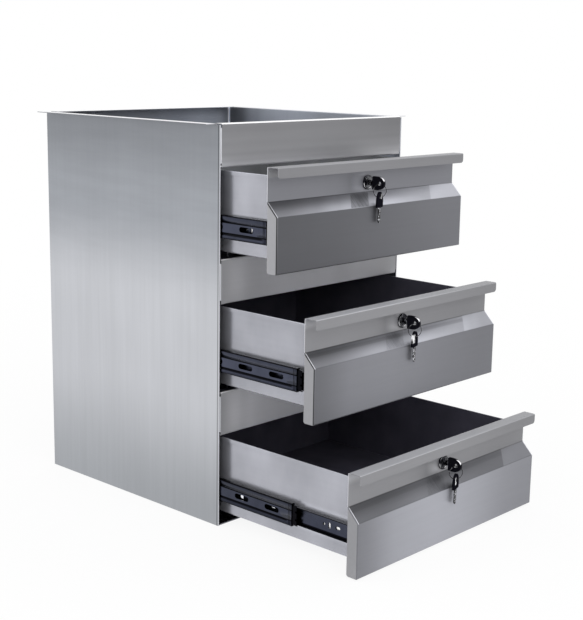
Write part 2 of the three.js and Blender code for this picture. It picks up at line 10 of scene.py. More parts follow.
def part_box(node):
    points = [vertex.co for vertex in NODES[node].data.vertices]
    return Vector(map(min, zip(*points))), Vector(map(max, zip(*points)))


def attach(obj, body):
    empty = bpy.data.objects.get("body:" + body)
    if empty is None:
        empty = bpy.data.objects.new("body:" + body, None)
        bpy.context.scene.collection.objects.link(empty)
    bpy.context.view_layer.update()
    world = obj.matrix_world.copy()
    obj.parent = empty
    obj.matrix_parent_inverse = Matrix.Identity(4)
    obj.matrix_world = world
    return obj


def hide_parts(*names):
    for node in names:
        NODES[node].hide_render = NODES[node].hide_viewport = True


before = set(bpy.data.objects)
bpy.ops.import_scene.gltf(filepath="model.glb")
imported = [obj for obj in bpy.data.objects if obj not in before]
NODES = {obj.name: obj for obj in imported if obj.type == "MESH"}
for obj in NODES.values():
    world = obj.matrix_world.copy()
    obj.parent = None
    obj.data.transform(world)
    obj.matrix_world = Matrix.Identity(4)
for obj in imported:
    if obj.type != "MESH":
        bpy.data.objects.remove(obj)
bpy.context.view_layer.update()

DRAWERS = (1, 2, 3)
SIDES = ("left", "right")
MM = 0.001
TINY = 1e-6

# Camera, fitted to the edges of the case and drawers in the photograph
CAMERA_PLACE = Vector((-1.4659, -1.5225, 0.7127))
CAMERA_AZIMUTH = math.radians(-47.05)
CAMERA_DIP = math.radians(11.62)
CAMERA_ROLL = math.radians(0.94)
CAMERA_LENS = 72.92


def make_camera():
    camera = bpy.data.objects.new("camera", bpy.data.cameras.new("camera"))
    camera.data.lens = CAMERA_LENS
    camera.data.clip_end = 200
    turn = (Matrix.Rotation(CAMERA_AZIMUTH, 4, "Z") @ Matrix.Rotation(math.pi / 2 - CAMERA_DIP, 4, "X")
            @ Matrix.Rotation(CAMERA_ROLL, 4, "Z"))
    camera.matrix_world = Matrix.Translation(CAMERA_PLACE) @ turn
    bpy.context.scene.collection.objects.link(camera)
    bpy.context.scene.camera = camera


# Tint of bare stainless steel
STEEL = (0.975, 0.985, 1.05)


# Node trees
class Value:
    """A socket of a node tree. Those that give numbers work with + - * and abs."""

    def __init__(self, tree, socket):
        self.tree = tree
        self.socket = socket

    def __add__(self, other):
        return worked("ADD", self, other)

    def __sub__(self, other):
        return worked("SUBTRACT", self, other)

    def __rsub__(self, other):
        return worked("SUBTRACT", other, self)

    def __mul__(self, other):
        return worked("MULTIPLY", self, other)

    def __abs__(self):
        return worked("ABSOLUTE", self)


def feed(socket, value):
    """Links a Value to a socket, or sets the socket to a plain number, vector or colour."""
    if isinstance(value, Value):
        value.tree.links.new(value.socket, socket)
    elif isinstance(value, tuple) and len(socket.default_value) > len(value):
        socket.default_value = (*value, 1)
    else:
        socket.default_value = value


def add(tree, kind, **values):
    """A new node, with its settings and inputs set by name."""
    node = tree.nodes.new("ShaderNode" + kind)
    for name, value in values.items():
        if hasattr(node, name):
            setattr(node, name, value)
        else:
            node.inputs[name].default_value = value
    return node


def made(kind, inputs, output=0, **values):
    """The output of a new node in the tree of its inputs: {socket: value}."""
    tree = next(value.tree for value in inputs.values() if isinstance(value, Value))
    node = add(tree, kind, **values)
    for name, value in inputs.items():
        feed(node.inputs[name], value)
    return Value(tree, node.outputs[output])


def worked(operation, first, second=0.0):
    return made("Math", {0: first, 1: second}, operation=operation)


def mix_colours(factor, first, second):
    return made("Mix", {0: factor, 6: first, 7: second}, 2, data_type="RGBA")


def ranged(value, from_min, from_max, to_min=0.0, to_max=1.0):
    inputs = {0: value, 1: from_min, 2: from_max, 3: to_min, 4: to_max}
    return made("MapRange", inputs, interpolation_type="SMOOTHSTEP")


def noise(coordinates, scale, detail, roughness):
    inputs = {"Vector": coordinates, "Scale": scale, "Detail": detail, "Roughness": roughness}
    return made("TexNoise", inputs)


def stretched(coordinates, scale, place=(0, 0, 0)):
    return made("Mapping", {"Vector": coordinates}, Scale=scale, Location=place)


def scaled(colour, level):
    return made("VectorMath", {0: colour, "Scale": level}, operation="SCALE")


def coordinates_of(tree, kind):
    return Value(tree, add(tree, "TexCoord").outputs[kind])


def axes(vector):
    node = add(vector.tree, "SeparateXYZ")
    feed(node.inputs[0], vector)
    return [Value(vector.tree, output) for output in node.outputs]


def normals(place):
    """How far the surface faces along X, Y and Z."""
    return axes(coordinates_of(place.tree, "Normal"))


def falling(value, low, high):
    """1 up to the low value and 0 from the high one."""
    return ranged(value, low, high, 1.0, 0.0)


def faces(cosine):
    """1 where the surface faces along an axis, from its cosine."""
    return ranged(cosine, 0.3, 0.6)


def varied(texture, low, high):
    """A level that a noise moves between low and high."""
    return ranged(texture, 0.3, 0.7, low, high)


def kept(mask, share):
    """1 where the mask is 0, and the share where it is 1."""
    return ranged(mask, 0.0, 1.0, 1.0, share)


def blended(mask, level):
    """1 where the mask is 0, and the level, which may change over the surface, where it is 1."""
    return mask * (level - 1.0) + 1.0


def inside_of(value, middle, half, soft):
    """1 where value lies within half of the middle, with an edge that is soft wide."""
    return falling(abs(value - middle), half - soft, half + soft)


def near_edge(distance, width):
    """1 from an edge to the given distance from it."""
    return falling(distance, width - EDGE_BLUR, width + EDGE_BLUR)


def stepped(value, *stops):
    """A level that changes along a value: (place, level) from the lowest up."""
    level = stops[0][1]
    for (low, before), (high, after) in zip(stops, stops[1:]):
        level = ranged(value, low, high, 0.0, after - before) + level
    return level


def glints(place, directions, inner, outer):
    """Mask of painted glints: 1 where the surface faces one of the directions, falling to 0 between two
    cosines.
    """
    normal = coordinates_of(place.tree, "Normal")
    brightest = None
    for direction in directions:
        pair = {0: normal, 1: Vector(direction).normalized()}
        facing = made("VectorMath", pair, "Value", operation="DOT_PRODUCT")
        spot = ranged(facing, outer, inner)
        brightest = spot if brightest is None else worked("MAXIMUM", brightest, spot)
    return brightest


def tinted(level, tint=STEEL):
    """A grey of the given level with a tint."""
    return tuple(level * share for share in tint)


def height_tones(*stops):
    """Base colour that changes with height: (height in metres, level and tint) from the lowest up."""
    def tone(place):
        height = axes(place)[2]
        colour = tinted(*stops[0][1:])
        for (low, *_), (high, *above) in zip(stops, stops[1:]):
            colour = mix_colours(ranged(height, low, high), colour, tinted(*above))
        return colour
    return tone


def noise_group(name, *noises):
    """A group that makes noises from coordinates: name, scale, place, detail and roughness of each."""
    group = bpy.data.node_groups.new(name, "ShaderNodeTree")
    group.interface.new_socket("Coordinates", in_out="INPUT", socket_type="NodeSocketVector")
    for label, *_ in noises:
        group.interface.new_socket(label, in_out="OUTPUT", socket_type="NodeSocketFloat")
    given = Value(group, group.nodes.new("NodeGroupInput").outputs[0])
    result = group.nodes.new("NodeGroupOutput")
    for socket, (_, scale, place, detail, roughness) in zip(result.inputs, noises):
        feed(socket, noise(stretched(given, scale, place), 1.0, detail, roughness))
    return group


# Fine scratches of a brushing belt, along the direction in which the coordinates are squeezed
BRUSHED_GRAIN = noise_group("brushed_grain", ("Grain", (1, 1, 1), (0, 0, 0), 2.0, 0.7),
                            ("Streaks", (0.12, 0.12, 0.12), (0, 0, 0), 2.0, 0.5))
# The uneven sheen of rolled and wiped sheet: broad clouds and smaller smears
CLOUDING = noise_group("clouding", ("Clouds", (1, 1, 1), (0, 0, 0), 2.0, 0.5),
                       ("Smears", (2.3, 2.3, 1.1), (3, 5, 7), 5.0, 0.62))


def use_group(group, place, scale):
    """The named values that a group makes from scaled coordinates."""
    node = add(place.tree, "Group", node_tree=group)
    feed(node.inputs[0], stretched(place, scale))
    return {output.name: Value(place.tree, output) for output in node.outputs}


def new_material(name, roughness, metallic):
    """A material, the inputs of its shader and its object coordinates."""
    material = bpy.data.materials.new(name)
    material.use_nodes = True
    inputs = material.node_tree.nodes["Principled BSDF"].inputs
    inputs["Roughness"].default_value = roughness
    inputs["Metallic"].default_value = metallic
    return material, inputs, coordinates_of(material.node_tree, "Object")


def bump_into(shader, height, strength, distance):
    inputs = {"Strength": strength, "Distance": distance, "Height": height}
    feed(shader["Normal"], made("Bump", inputs))


# Depth of the streaks, spread of the roughness and relief of the grain in satin sheet
STREAK_DEPTH = 0.012
GRAIN_SPREAD = (-0.02, 0.03)
GRAIN_RELIEF = (0.012, 0.0001)
EDGE_BLUR = 0.0003


def satin_steel(name, tone, grain_scale, roughness=0.25, cloud_scale=(4, 4, 4), cloud_depth=0.03,
                metallic=1.0, wear=1.0):
    """Satin stainless sheet. tone makes the base colour from the coordinates."""
    material, inputs, place = new_material(name, roughness, metallic)
    grain = use_group(BRUSHED_GRAIN, place, grain_scale)
    cloud = use_group(CLOUDING, place, cloud_scale)
    shade = varied(cloud["Clouds"], 1 - cloud_depth, 1 + cloud_depth)
    smear = varied(cloud["Smears"], 1 - cloud_depth / 2, 1 + cloud_depth / 2)
    line = varied(grain["Streaks"], 1 - STREAK_DEPTH, 1 + STREAK_DEPTH)
    feed(inputs["Base Color"], scaled(tone(place), shade * smear * line))
    rough = [roughness + spread * wear for spread in GRAIN_SPREAD]
    feed(inputs["Roughness"], ranged(grain["Grain"], 0.2, 0.8, *rough))
    bump_into(inputs, grain["Grain"], GRAIN_RELIEF[0] * wear, GRAIN_RELIEF[1])
    return material, inputs, place


# Lock and keys, in mm, on the lock axis with y 0 at the face of the recess
BEZEL_RADIUS = 11
BEZEL_HEIGHT = 3
BARREL_RADIUS = 9
BARREL_FLAT = 7.7
BARREL_END = 18.3
PLUG_RADIUS = 6
PLUG_FACE = -2.6
PLUG_GAP = 0.15
TAIL_HALF = 3.5
TAIL_END = 20.9
TAIL_HEAD = 22.4
HEAD_BASE = -10.4
HEAD_LENGTH = 23.5
HEAD_STRAIGHT = 8.93
HEAD_HALF = 10.25
HEAD_THICK = 3.2
HEAD_HOLE_Y = -24.5
HEAD_HOLE = 3
BLADE_TIP = 13
BLADE_HALF = 4
BLADE_THICK = 1.8
NOTCH_START = 9.9
NOTCH_PITCH = 3.225
NOTCH_DEPTHS = (1.2, 0.7, 1.3, 0.9)
RING_RADIUS = 10
RING_TOP = -0.87
RING_TURN = math.radians(-37)
SPARE_DROP = -21.74
SPARE_TURN = math.radians(-74)

# Slides, in mm from the front end of a member and from the slides' centre line
CREASE_LEVELS = (7.2, -8.2)
CREASE_HALF = 0.6
CREASE_DEPTH = 0.5
END_MARKS = (2.6, 5.4)
NOTCH_LEVELS = ((4.5, 7.5), (-7.5, -4.5))
NOTCH_LENGTH = 3
NOTCH_REACH = 12
CAGE_END = 9
# Brightness of the middle members of each drawer: one zinc, made lighter or darker by painted light and shade
RUNNER_LIGHT_LEVELS = {1: 0.95, 2: 1.05, 3: 0.8}
MEMBER_LEVEL = 0.78
MEMBER_EDGE = 0.0098
WINDOW = (22, 60)
WINDOW_HALF = 6.2
WINDOW_DEPTHS = (1.4, 4.4)
# Stops of a drawer member, in mm behind its front end and from its centre line: start, end, bottom, top
STOPS = ((205.4, 210.9, -9, 2.5), (139.5, 146, -0.5, 0.6))
STOP_SINK = 0.3
STOP_REACH = 6.2

# Surfaces
ALONG_X = (40, 1500, 1500)
ALONG_Z = (1500, 1500, 40)
ALONG_Y = (1500, 40, 1500)
COOL = (0.91, 0.975, 1.12)
BLUER = (0.965, 0.98, 1.08)
LESS_BLUE = (0.982, 0.984, 1.036)
# Tints and tones of the side sheets by height, from the floor up: a painted reflection, dull under the top
# edge and brightest at half height
SIDE_LOW = (0.954, 0.992, 1.054)
SIDE_MIDDLE = (0.968, 0.988, 1.044)
SIDE_TOP = (0.9425, 0.987, 1.071)
SIDE_REFLECTION_TONES = ((0.0, 0.385, SIDE_LOW), (0.21, 0.585, SIDE_MIDDLE), (0.33, 0.59, SIDE_MIDDLE),
              (0.48, 0.37, SIDE_TOP), (0.61, 0.26, SIDE_TOP))
# Painted highlight on the faces that look up, along the top edges
TOP_EDGE_HIGHLIGHT = (0.93, 0.93, 0.95)
HALF_WIDTH = 0.21
# Heights between which the inside of the case turns from dark to lit through the open top, and the share
# of its tone that the dark part keeps
UNLIT = (0.42, 0.5)
UNLIT_SHARE = 0.2
# Tone of the rails from left to right, with painted light and shade: lifted where the drawers shade the
# middle rails and lower at their ends: (place across in m, tone)
TOP_RAIL_LIGHT_TONES = ((-0.2, 0.228), (-0.03, 0.243), (0.03, 0.243), (0.2, 0.186))
MIDDLE_RAIL_LIGHT_TONES = {
    1: ((-0.207, 0.35), (-0.16, 0.67), (-0.06, 0.97), (0.02, 0.97), (0.08, 0.83), (0.2, 0.42)),
    2: ((-0.207, 0.33), (-0.165, 0.72), (-0.136, 0.92), (-0.09, 0.97), (0.08, 0.9), (0.2, 0.5))}
# How much painted light the top rail gains above its lower edge, against the shade there: (rise in m, gain),
# and the share of it from left to right
TOP_RAIL_PAINTED_LIGHT = ((0.003, 2.1), (0.01, 1.25), (0.02, 0.62), (0.035, 0.22), (0.057, 0.0))
TOP_RAIL_SHARE = ((-0.16, 1.0), (0.115, 0.55))
# Depth of the painted highlight along the top edge of the top rail and of the others, with painted shade
# behind it, and width of the painted highlight at a rail's ends
TOP_RAIL_EDGE_LIGHT = 0.1
RAIL_EDGE_LIGHT = 0.003
RAIL_END_HIGHLIGHT = 0.0012
# Tones of the inside of the case, seen through its open top, with its light and shade painted in: the sides
# from front to back, and the back from left to right
INNER_SIDE_LIGHT_TONES = ((-0.034, 0.355), (0.0, 0.415), (0.033, 0.445), (0.07, 0.435), (0.104, 0.39), (0.14, 0.29),
                    (0.177, 0.123))
INNER_BACK_LIGHT_TONES = ((-0.2, 0.2), (0.0, 0.265), (0.07, 0.316), (0.14, 0.44), (0.18, 0.46), (0.203, 0.3))
# Painted highlight along the inner corner where a side meets the back
CORNER_HIGHLIGHT = 0.95
# Part of the left side that the top drawer shades inside: ends across and along, and share that it keeps
SHADE_ACROSS = (-0.01, 0.01)
SHADE_ALONG = (-0.17, -0.1)
SHADE_SHARE = 0.3
# Place, half width and share of the painted shade in the groove behind the hem of a side's front edge, and
# the tone of the painted highlight on the hem
GROOVE_SHADE = (0.0028, 0.0009)
GROOVE_SHADE_SHARE = 0.42
HEM_HIGHLIGHT = 0.62


def lit(height):
    """Share of the inner tones that the light through the open top leaves at a height."""
    return ranged(height, *UNLIT, UNLIT_SHARE, 1.0)


def case_side_steel():
    """The side sheets: a painted reflection makes them dull under the top edge and brightest at half height;
    they are wiped upright below the middle and level above it. Their top and front edges take painted
    highlights, the groove behind the hem painted shade, and the inside painted light and shade."""
    low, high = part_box("left_side_panel")
    stops = height_tones(*SIDE_REFLECTION_TONES)

    def tone(place):
        across, along, height = axes(place)
        upright = noise(stretched(place, (1, 70, 2.4)), 1.0, 4.0, 0.6)
        level = noise(stretched(place, (1, 7, 60), (2, 4, 6)), 1.0, 4.0, 0.62)
        wiped = (varied(upright, 0.98, 1.02), varied(level, 0.975, 1.025))
        colour = scaled(stops(place), mix_colours(ranged(height, 0.3, 0.46), *wiped))
        # Inside: a painted highlight along the corner, and painted light and shade that change with depth and
        # height, darker where the top drawer shades the left side
        corner = ranged(along, high.y - 0.0045, high.y - 0.0035, 0.0, CORNER_HIGHLIGHT)
        depth = worked("MAXIMUM", stepped(along, *INNER_SIDE_LIGHT_TONES), corner)
        shaded = falling(across, *SHADE_ACROSS) * falling(along, *SHADE_ALONG)
        depth = depth * lit(height) * kept(shaded, SHADE_SHARE)
        colour = mix_colours(inner(place), colour, scaled(COOL, depth))
        # Painted shade in the groove behind the hem, and a painted highlight on the hem's front faces and on
        # the faces that look up
        groove = inside_of(along, low.y + GROOVE_SHADE[0], GROOVE_SHADE[1], EDGE_BLUR)
        colour = scaled(colour, kept(groove, GROOVE_SHADE_SHARE))
        hem = falling(normals(place)[1], -0.6, -0.3)
        colour = mix_colours(hem, colour, tinted(HEM_HIGHLIGHT))
        return mix_colours(ranged(normals(place)[2], 0.5, 0.8), colour, TOP_EDGE_HIGHLIGHT)

    def inner(place):
        within = inside_of(axes(place)[0], 0.0, HALF_WIDTH - 0.0004, 0.0001)
        return within * falling(abs(normals(place)[2]), 0.3, 0.6)

    material, inputs, place = satin_steel("side_sheet", tone, ALONG_Z, roughness=0.3)
    feed(inputs["Metallic"], kept(inner(place), 0.25))
    return material


def rail_tone(node, tones, gain=(), edge=RAIL_EDGE_LIGHT):
    """A rail with painted light and shade across it, more painted light above the lower edge of the top rail,
    a painted highlight along its top edge with painted shade behind it, and painted highlights where it turns
    in at its ends.
    """
    low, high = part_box(node)

    def tone(place):
        across, along, height = axes(place)
        share = stepped(across, *tones)
        if gain:
            share = share * (stepped(height - low.z, *gain) * stepped(across, *TOP_RAIL_SHARE) + 1.0)
        colour = scaled(LESS_BLUE, share)
        # Painted highlight at the ends, and on the top a painted highlight near the front with painted shade
        # behind
        colour = mix_colours(near_edge(high.x - abs(across), RAIL_END_HIGHLIGHT), colour, tinted(0.8))
        behind = ranged(along, low.y + edge, low.y + edge + 0.0005)
        top_light_and_shade = mix_colours(behind, (0.95, 0.95, 0.96), (0.03, 0.03, 0.04))
        return mix_colours(faces(normals(place)[2]), colour, top_light_and_shade)
    return tone


def back_steel():
    """The back sheet, with a painted highlight along the corner where it meets the side, painted light and
    shade inside that is dark low down, a painted reflection outside that is brightest at half height, and a
    painted highlight on its top edge.
    """
    outer_tones = height_tones((0.0, 0.36), (0.3, 0.5), (0.61, 0.4))

    def tone(place):
        across, _, height = axes(place)
        corner = ranged(across, HALF_WIDTH - 0.0055, HALF_WIDTH - 0.0045)
        colour = scaled(COOL, stepped(across, *INNER_BACK_LIGHT_TONES) * lit(height))
        colour = mix_colours(corner, colour, tinted(CORNER_HIGHLIGHT))
        colour = mix_colours(outside(place), colour, outer_tones(place))
        return mix_colours(faces(normals(place)[2]), colour, TOP_EDGE_HIGHLIGHT)

    def outside(place):
        return faces(normals(place)[1])

    material, inputs, place = satin_steel("back_sheet", tone, ALONG_X)
    feed(inputs["Metallic"], ranged(outside(place), 0.0, 1.0, 0.25, 1.0))
    return material


# A front's folds, above its bottom edge and back from the face of its plate
SLOPE_START = 0.0814
SLOPE_END = 0.1010
SLOPE_DEPTH = 0.0195
LIP_START = 0.135
SHEET = 0.001
FOLD_BLUR = 0.0004
FOLD_HALF = 0.0007
# Share that the painted shade in the dark line of the upper and of the lower fold keeps
FOLD_SHADE_SHARES = ((SLOPE_END, 0.65), (SLOPE_START, 0.8))
# Tone of the lip, recess, plate and end returns of each drawer, with the light and reflection that each faces
# painted in, and the painted shade of the dark line at their bend
FRONT_LIGHT_TONES = {1: (0.238, 0.213, 0.139, 0.36, 0.03), 2: (0.272, 0.265, 0.214, 0.33, 0.04),
               3: (0.282, 0.290, 0.330, 0.328, 0.2)}
# Painted light on the lip's top: its tone left of the middle and at its right end
LIP_TOP_LIGHT_TONES = {1: (0.28, 0.27), 2: (0.42, 0.27), 3: (0.41, 0.29)}
# Share that painted shade leaves the lip and recess at their right end, from where to where across it darkens
# them, and the share that painted shade leaves the plate at its left end
UPPER_END_SHADE = {1: 1.0, 2: 0.87, 3: 0.8}
UPPER_SPAN = (-0.05, 0.2)
PLATE_END_SHADE = {1: 1.0, 2: 0.71, 3: 0.72}
# Where the slope turns to its lighter end, a painted reflection, its painted reflection tones from left to
# right with that edge, and how much painted shade darkens it upwards left of the middle
REFLECTION_EDGE = (0.1435, 0.1455)
SLOPE_REFLECTION_TONES = {
    1: ((-0.2, 0.155), (-0.13, 0.212), (-0.08, 0.293), (-0.05, 0.345), (0.02, 0.425), (0.09, 0.41),
        *zip(REFLECTION_EDGE, (0.357, 0.45)), (0.2, 0.4)),
    2: ((-0.2, 0.132), (-0.05, 0.297), (0.02, 0.37), (0.1, 0.355), *zip(REFLECTION_EDGE, (0.33, 0.42)),
        (0.17, 0.355), (0.2, 0.3)),
    3: ((-0.17, 0.112), (-0.05, 0.162), (0.05, 0.132), (0.09, 0.128), *zip(REFLECTION_EDGE, (0.128, 0.2)),
        (0.2, 0.182))}
SLOPE_SHADE = {1: 0.33, 2: 0.33, 3: 0.2}
# Painted reflection of the lock's side on the slope: place across, half width and share that it keeps
PATCH_MIDDLE = -0.029
PATCH_HALF = 0.0205
PATCH_SHARE = {1: 0.58, 2: 0.84, 3: 0.9}
# What the slope mirrors stands upright in the photo: its shift across per rise, and the height, half height
# and share of the darker band below the upper fold, which stops at the lighter end
SLOPE_SKEW = 0.96
# The darker band below the upper fold is a painted reflection of the lip's shade
SHADE_BAND_RISE = 0.0959
SHADE_BAND_HALF = 0.0021
SHADE_BAND_SHARE = {1: 1.0, 2: 0.8, 3: 0.9}
# Place across the front, reach and depth of the painted sheen, a painted reflection, on the plate
FRONT_SHEENS = {1: (0.26, 0.48, 0.28), 2: (-0.07, 0.27, 0.17), 3: (-0.05, 0.27, 0.25)}
# Share by which a painted highlight brightens the plate beside its bent edge, the tone of the slope's painted
# highlight there, and the width of the two lines of that bend: the painted highlight and the painted shade
# along the end return
BEND_GLEAM = {1: 1.9, 2: 1.35, 3: 1.0}
BEND_HIGHLIGHT = 0.72
BEND_BRIGHT = 0.0014
BEND_SHADE = 0.0022
# Painted light spot beside the lock, which lifts the dark reflection of the lock there: place across, reach
# and gain
LOCK_LIGHT_SPOT = (-0.019, 0.012, 0.85)
# Painted light that the recess gains right under the lip, against the lip's shade, and tone of the painted
# highlight on the sheet's edge
SHELTER_LIGHT_GAIN = 1.1
SHEET_EDGE_HIGHLIGHT = 0.62


def front_steel(number):
    """A front folded from satin sheet: each fold takes its own painted tone for the light and reflection that
    it faces, with painted highlights, shade and reflections at its bends, beside the lock and on the slope.
    """
    low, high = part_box(f"drawer_front_{number}")
    foot, plate_face = low.z, high.y - SHEET - SLOPE_DEPTH
    lip, recess, plate, cheek, bend = FRONT_LIGHT_TONES[number]
    recess_tint = BLUER if number == 1 else LESS_BLUE
    lock = sum(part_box(f"lock_housing_{number}"), Vector()) / 2
    mid_slope = (SLOPE_START + SLOPE_END) / 2

    def slope(across, skewed, rise):
        # The slope's painted reflection: tones from left to right with a lighter end, painted shade darkening
        # it upwards, and a dark band of painted shade under the upper fold
        shade = (ranged(across, 0.0, 0.13, SLOPE_SHADE[number], 0.0)
                 * ranged(rise, SLOPE_START + 0.002, SLOPE_END - 0.003, 1.0, -1.0))
        shade_band = kept(inside_of(rise, SHADE_BAND_RISE, SHADE_BAND_HALF, 0.001), SHADE_BAND_SHARE[number])
        shade_band = blended(falling(skewed, *REFLECTION_EDGE), shade_band)
        return scaled(BLUER, stepped(skewed, *SLOPE_REFLECTION_TONES[number]) * (shade + 1.0) * shade_band)

    def sheets(across, behind, height, rise, skewed):
        """The plate, slope, recess and lip, with a painted sheen on the plate, painted shade towards their
        ends, and the painted light that they gain beside the lock and right under the lip.
        """
        middle, reach, depth = FRONT_SHEENS[number]
        sheen = ranged(abs(across - middle), 0.0, reach, 1 + depth, 1 - depth)
        upper_shade = ranged(across, *UPPER_SPAN, 1.0, UPPER_END_SHADE[number])
        end = ranged(across, -high.x, -0.13, PLATE_END_SHADE[number], 1.0)
        colour = scaled(tinted(plate, BLUER), sheen * end)
        place, reach, gain = LOCK_LIGHT_SPOT
        spot = inside_of(across, place, reach, reach) * inside_of(height, lock.z, reach, 0.008)
        shelter_light = (ranged(behind, SLOPE_DEPTH - 0.004, SLOPE_DEPTH - 0.003)
                     * ranged(rise, LIP_START - 0.004, LIP_START + 0.011, 0.0, SHELTER_LIGHT_GAIN))
        for level, above in ((SLOPE_START, slope(across, skewed, rise)),
                             (SLOPE_END, scaled(tinted(recess, recess_tint), upper_shade)),
                             (LIP_START, scaled(tinted(lip, LESS_BLUE), upper_shade))):
            colour = mix_colours(ranged(rise, level - FOLD_BLUR, level + FOLD_BLUR), colour, above)
        return scaled(colour, spot * gain + shelter_light + 1.0)

    def bends(colour, across, rise):
        """The rounded bend between a face and its end return: a painted highlight line."""
        gleam = near_edge(high.x - abs(across), BEND_BRIGHT)
        on_plate = falling(rise, SLOPE_START - SHEET, SLOPE_START)
        on_slope = (1.0 - on_plate) * falling(rise, SLOPE_END - SHEET, SLOPE_END)
        faded = ranged(rise, 0.0, SLOPE_START, 1.0, BEND_GLEAM[number])
        colour = scaled(colour, blended(gleam * on_plate, faded))
        return mix_colours(gleam * on_slope, colour, tinted(BEND_HIGHLIGHT))

    def returned(behind, rise):
        """The end return in its painted tone, with painted shade along its bend and a painted highlight on
        the sheet's edge above it.
        """
        climb = SLOPE_END - SLOPE_START
        hypotenuse = math.hypot(climb, SLOPE_DEPTH)
        slant = behind * (climb / hypotenuse) - (rise - SLOPE_START) * (SLOPE_DEPTH / hypotenuse)
        inward = worked("MINIMUM", behind, slant)
        colour = mix_colours(near_edge(inward, BEND_SHADE), tinted(cheek, LESS_BLUE), tinted(bend, BLUER))
        above = ranged(rise, SLOPE_END - 0.0005, SLOPE_END + 0.0005)
        edge = ranged(behind, SLOPE_DEPTH - SHEET, SLOPE_DEPTH - SHEET / 2, cheek * 0.8, SHEET_EDGE_HIGHLIGHT)
        return mix_colours(above, colour, scaled(STEEL, edge))

    def tone(place):
        across, back, height = axes(place)
        rise, behind = height - foot, back - plate_face
        skewed = across - (rise - mid_slope) * SLOPE_SKEW
        colour = sheets(across, behind, height, rise, skewed)
        # Painted reflection of the lock's side on the slope, streaked upright
        lock_reflection = (inside_of(skewed, PATCH_MIDDLE, PATCH_HALF, 0.0008)
                   * inside_of(rise, mid_slope, 0.009, 0.0006))
        upright = ranged(noise(stretched(place, (900, 20, 20)), 1.0, 2.0, 0.6), 0.4, 0.6,
                         PATCH_SHARE[number] - 1.1, PATCH_SHARE[number] - 0.9)
        colour = scaled(colour, lock_reflection * upright + 1.0)
        # Painted shade in the folds
        for level, share in FOLD_SHADE_SHARES:
            colour = scaled(colour, kept(inside_of(rise, level, FOLD_HALF, EDGE_BLUR), share))
        end = ranged(abs(normals(place)[0]), 0.6, 0.8)
        colour = mix_colours(end, bends(colour, across, rise), returned(behind, rise))
        top = scaled(STEEL, ranged(across, *UPPER_SPAN, *LIP_TOP_LIGHT_TONES[number]))
        return mix_colours(lip_sides(place), colour, top)

    def lip_sides(place):
        """The top and the hidden sides of the lip, which aren't seen to mirror the room."""
        _, back, up = normals(place)
        aside = worked("MAXIMUM", ranged(abs(up), 0.25, 0.45), faces(back))
        return aside * ranged(axes(place)[2] - foot, LIP_START - 0.007, LIP_START - 0.005)

    material, inputs, place = satin_steel(f"front_sheet_{number}", tone, ALONG_X, roughness=0.42)
    feed(inputs["Metallic"], ranged(lip_sides(place), 0.0, 1.0, 0.62, 0.2))
    return material


# The box sheet's tone differs from drawer to drawer as painted light. It is painted brighter where the slide
# covers it, a painted light for what shows through the slide's openings, and dark on the faces that look into
# the box, where the first drawer's is lighter as painted light
BOX_TONES = {1: 0.43, 2: 0.405, 3: 0.44}
BOX_SKIN = 0.0018
BOX_DARK = {1: (0.185, 0.19, 0.2), 2: (0.1, 0.097, 0.125), 3: (0.09, 0.087, 0.116)}
# Ends of the painted shade on the box sheet behind the openings of a drawer slide, in mm from the slide's
# front end
SHADED = ((25, 30), (39.7, 43), (48.6, 54))
OPENING_SHADE = (0.004, 0.004, 0.005)
SLIDE_HEIGHT = 0.055
COVERED_HALF = 0.0125
# Heights between which painted light brightens the sheet near the slide, against the slide's dark reflection,
# fading below and above it, and the gain
BRIGHTER_BELOW = (0.03, 0.041)
BRIGHTER_ABOVE = (0.069, 0.082)
SLIDE_LIGHT_GAIN = 1.3
COVERED_LIGHT = (1.0, 1.0, 1.0)


def box_steel(number, foot):
    low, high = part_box(f"drawer_box_{number}")
    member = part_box(f"left_drawer_slide_{number}")[0].y
    middle, half = (low + high) / 2, (high - low) / 2
    middle.z += BOX_SKIN / 4
    limits = (half.x - BOX_SKIN, half.y - BOX_SKIN / 4, half.z - BOX_SKIN / 4)

    def hollow(place):
        mask = None
        for axis, centre, limit in zip(axes(place), middle, limits):
            within = inside_of(axis, centre, limit, 0.00005)
            mask = within if mask is None else mask * within
        return mask

    def tone(place):
        _, along, height = axes(place)
        # Painted light where the slide covers the sheet and near it, and painted shade behind the slide's
        # openings
        covered = inside_of(height, foot + SLIDE_HEIGHT, COVERED_HALF, 0.0004)
        outside = mix_colours(covered, tinted(BOX_TONES[number], BLUER), COVERED_LIGHT)
        rise = height - foot
        beside = ranged(rise, *BRIGHTER_BELOW) + falling(rise, *BRIGHTER_ABOVE)
        outside = scaled(outside, ranged(beside, 1.0, 2.0, 1.0, SLIDE_LIGHT_GAIN))
        for start, end in SHADED:
            shaded = inside_of(along - member, (start + end) / 2 * MM, (end - start) / 2 * MM, 0.0002)
            outside = mix_colours(covered * shaded, outside, OPENING_SHADE)
        dark = scaled(BOX_DARK[number], varied(noise(place, 20, 3, 0.5), 0.9, 1.1))
        return mix_colours(hollow(place), outside, dark)

    material, inputs, place = satin_steel(f"box_sheet_{number}", tone, ALONG_Y, cloud_scale=(11, 11, 11),
                                          cloud_depth=0.09, wear=0.25)
    inputs["Specular IOR Level"].default_value = 0.12
    feed(inputs["Metallic"], ranged(hollow(place), 0.0, 1.0, 0.7, 0.0))
    return material


BLACK_EDGE = (0.004, 0.004, 0.006)
DARK_LINE = (0.006, 0.006, 0.01)


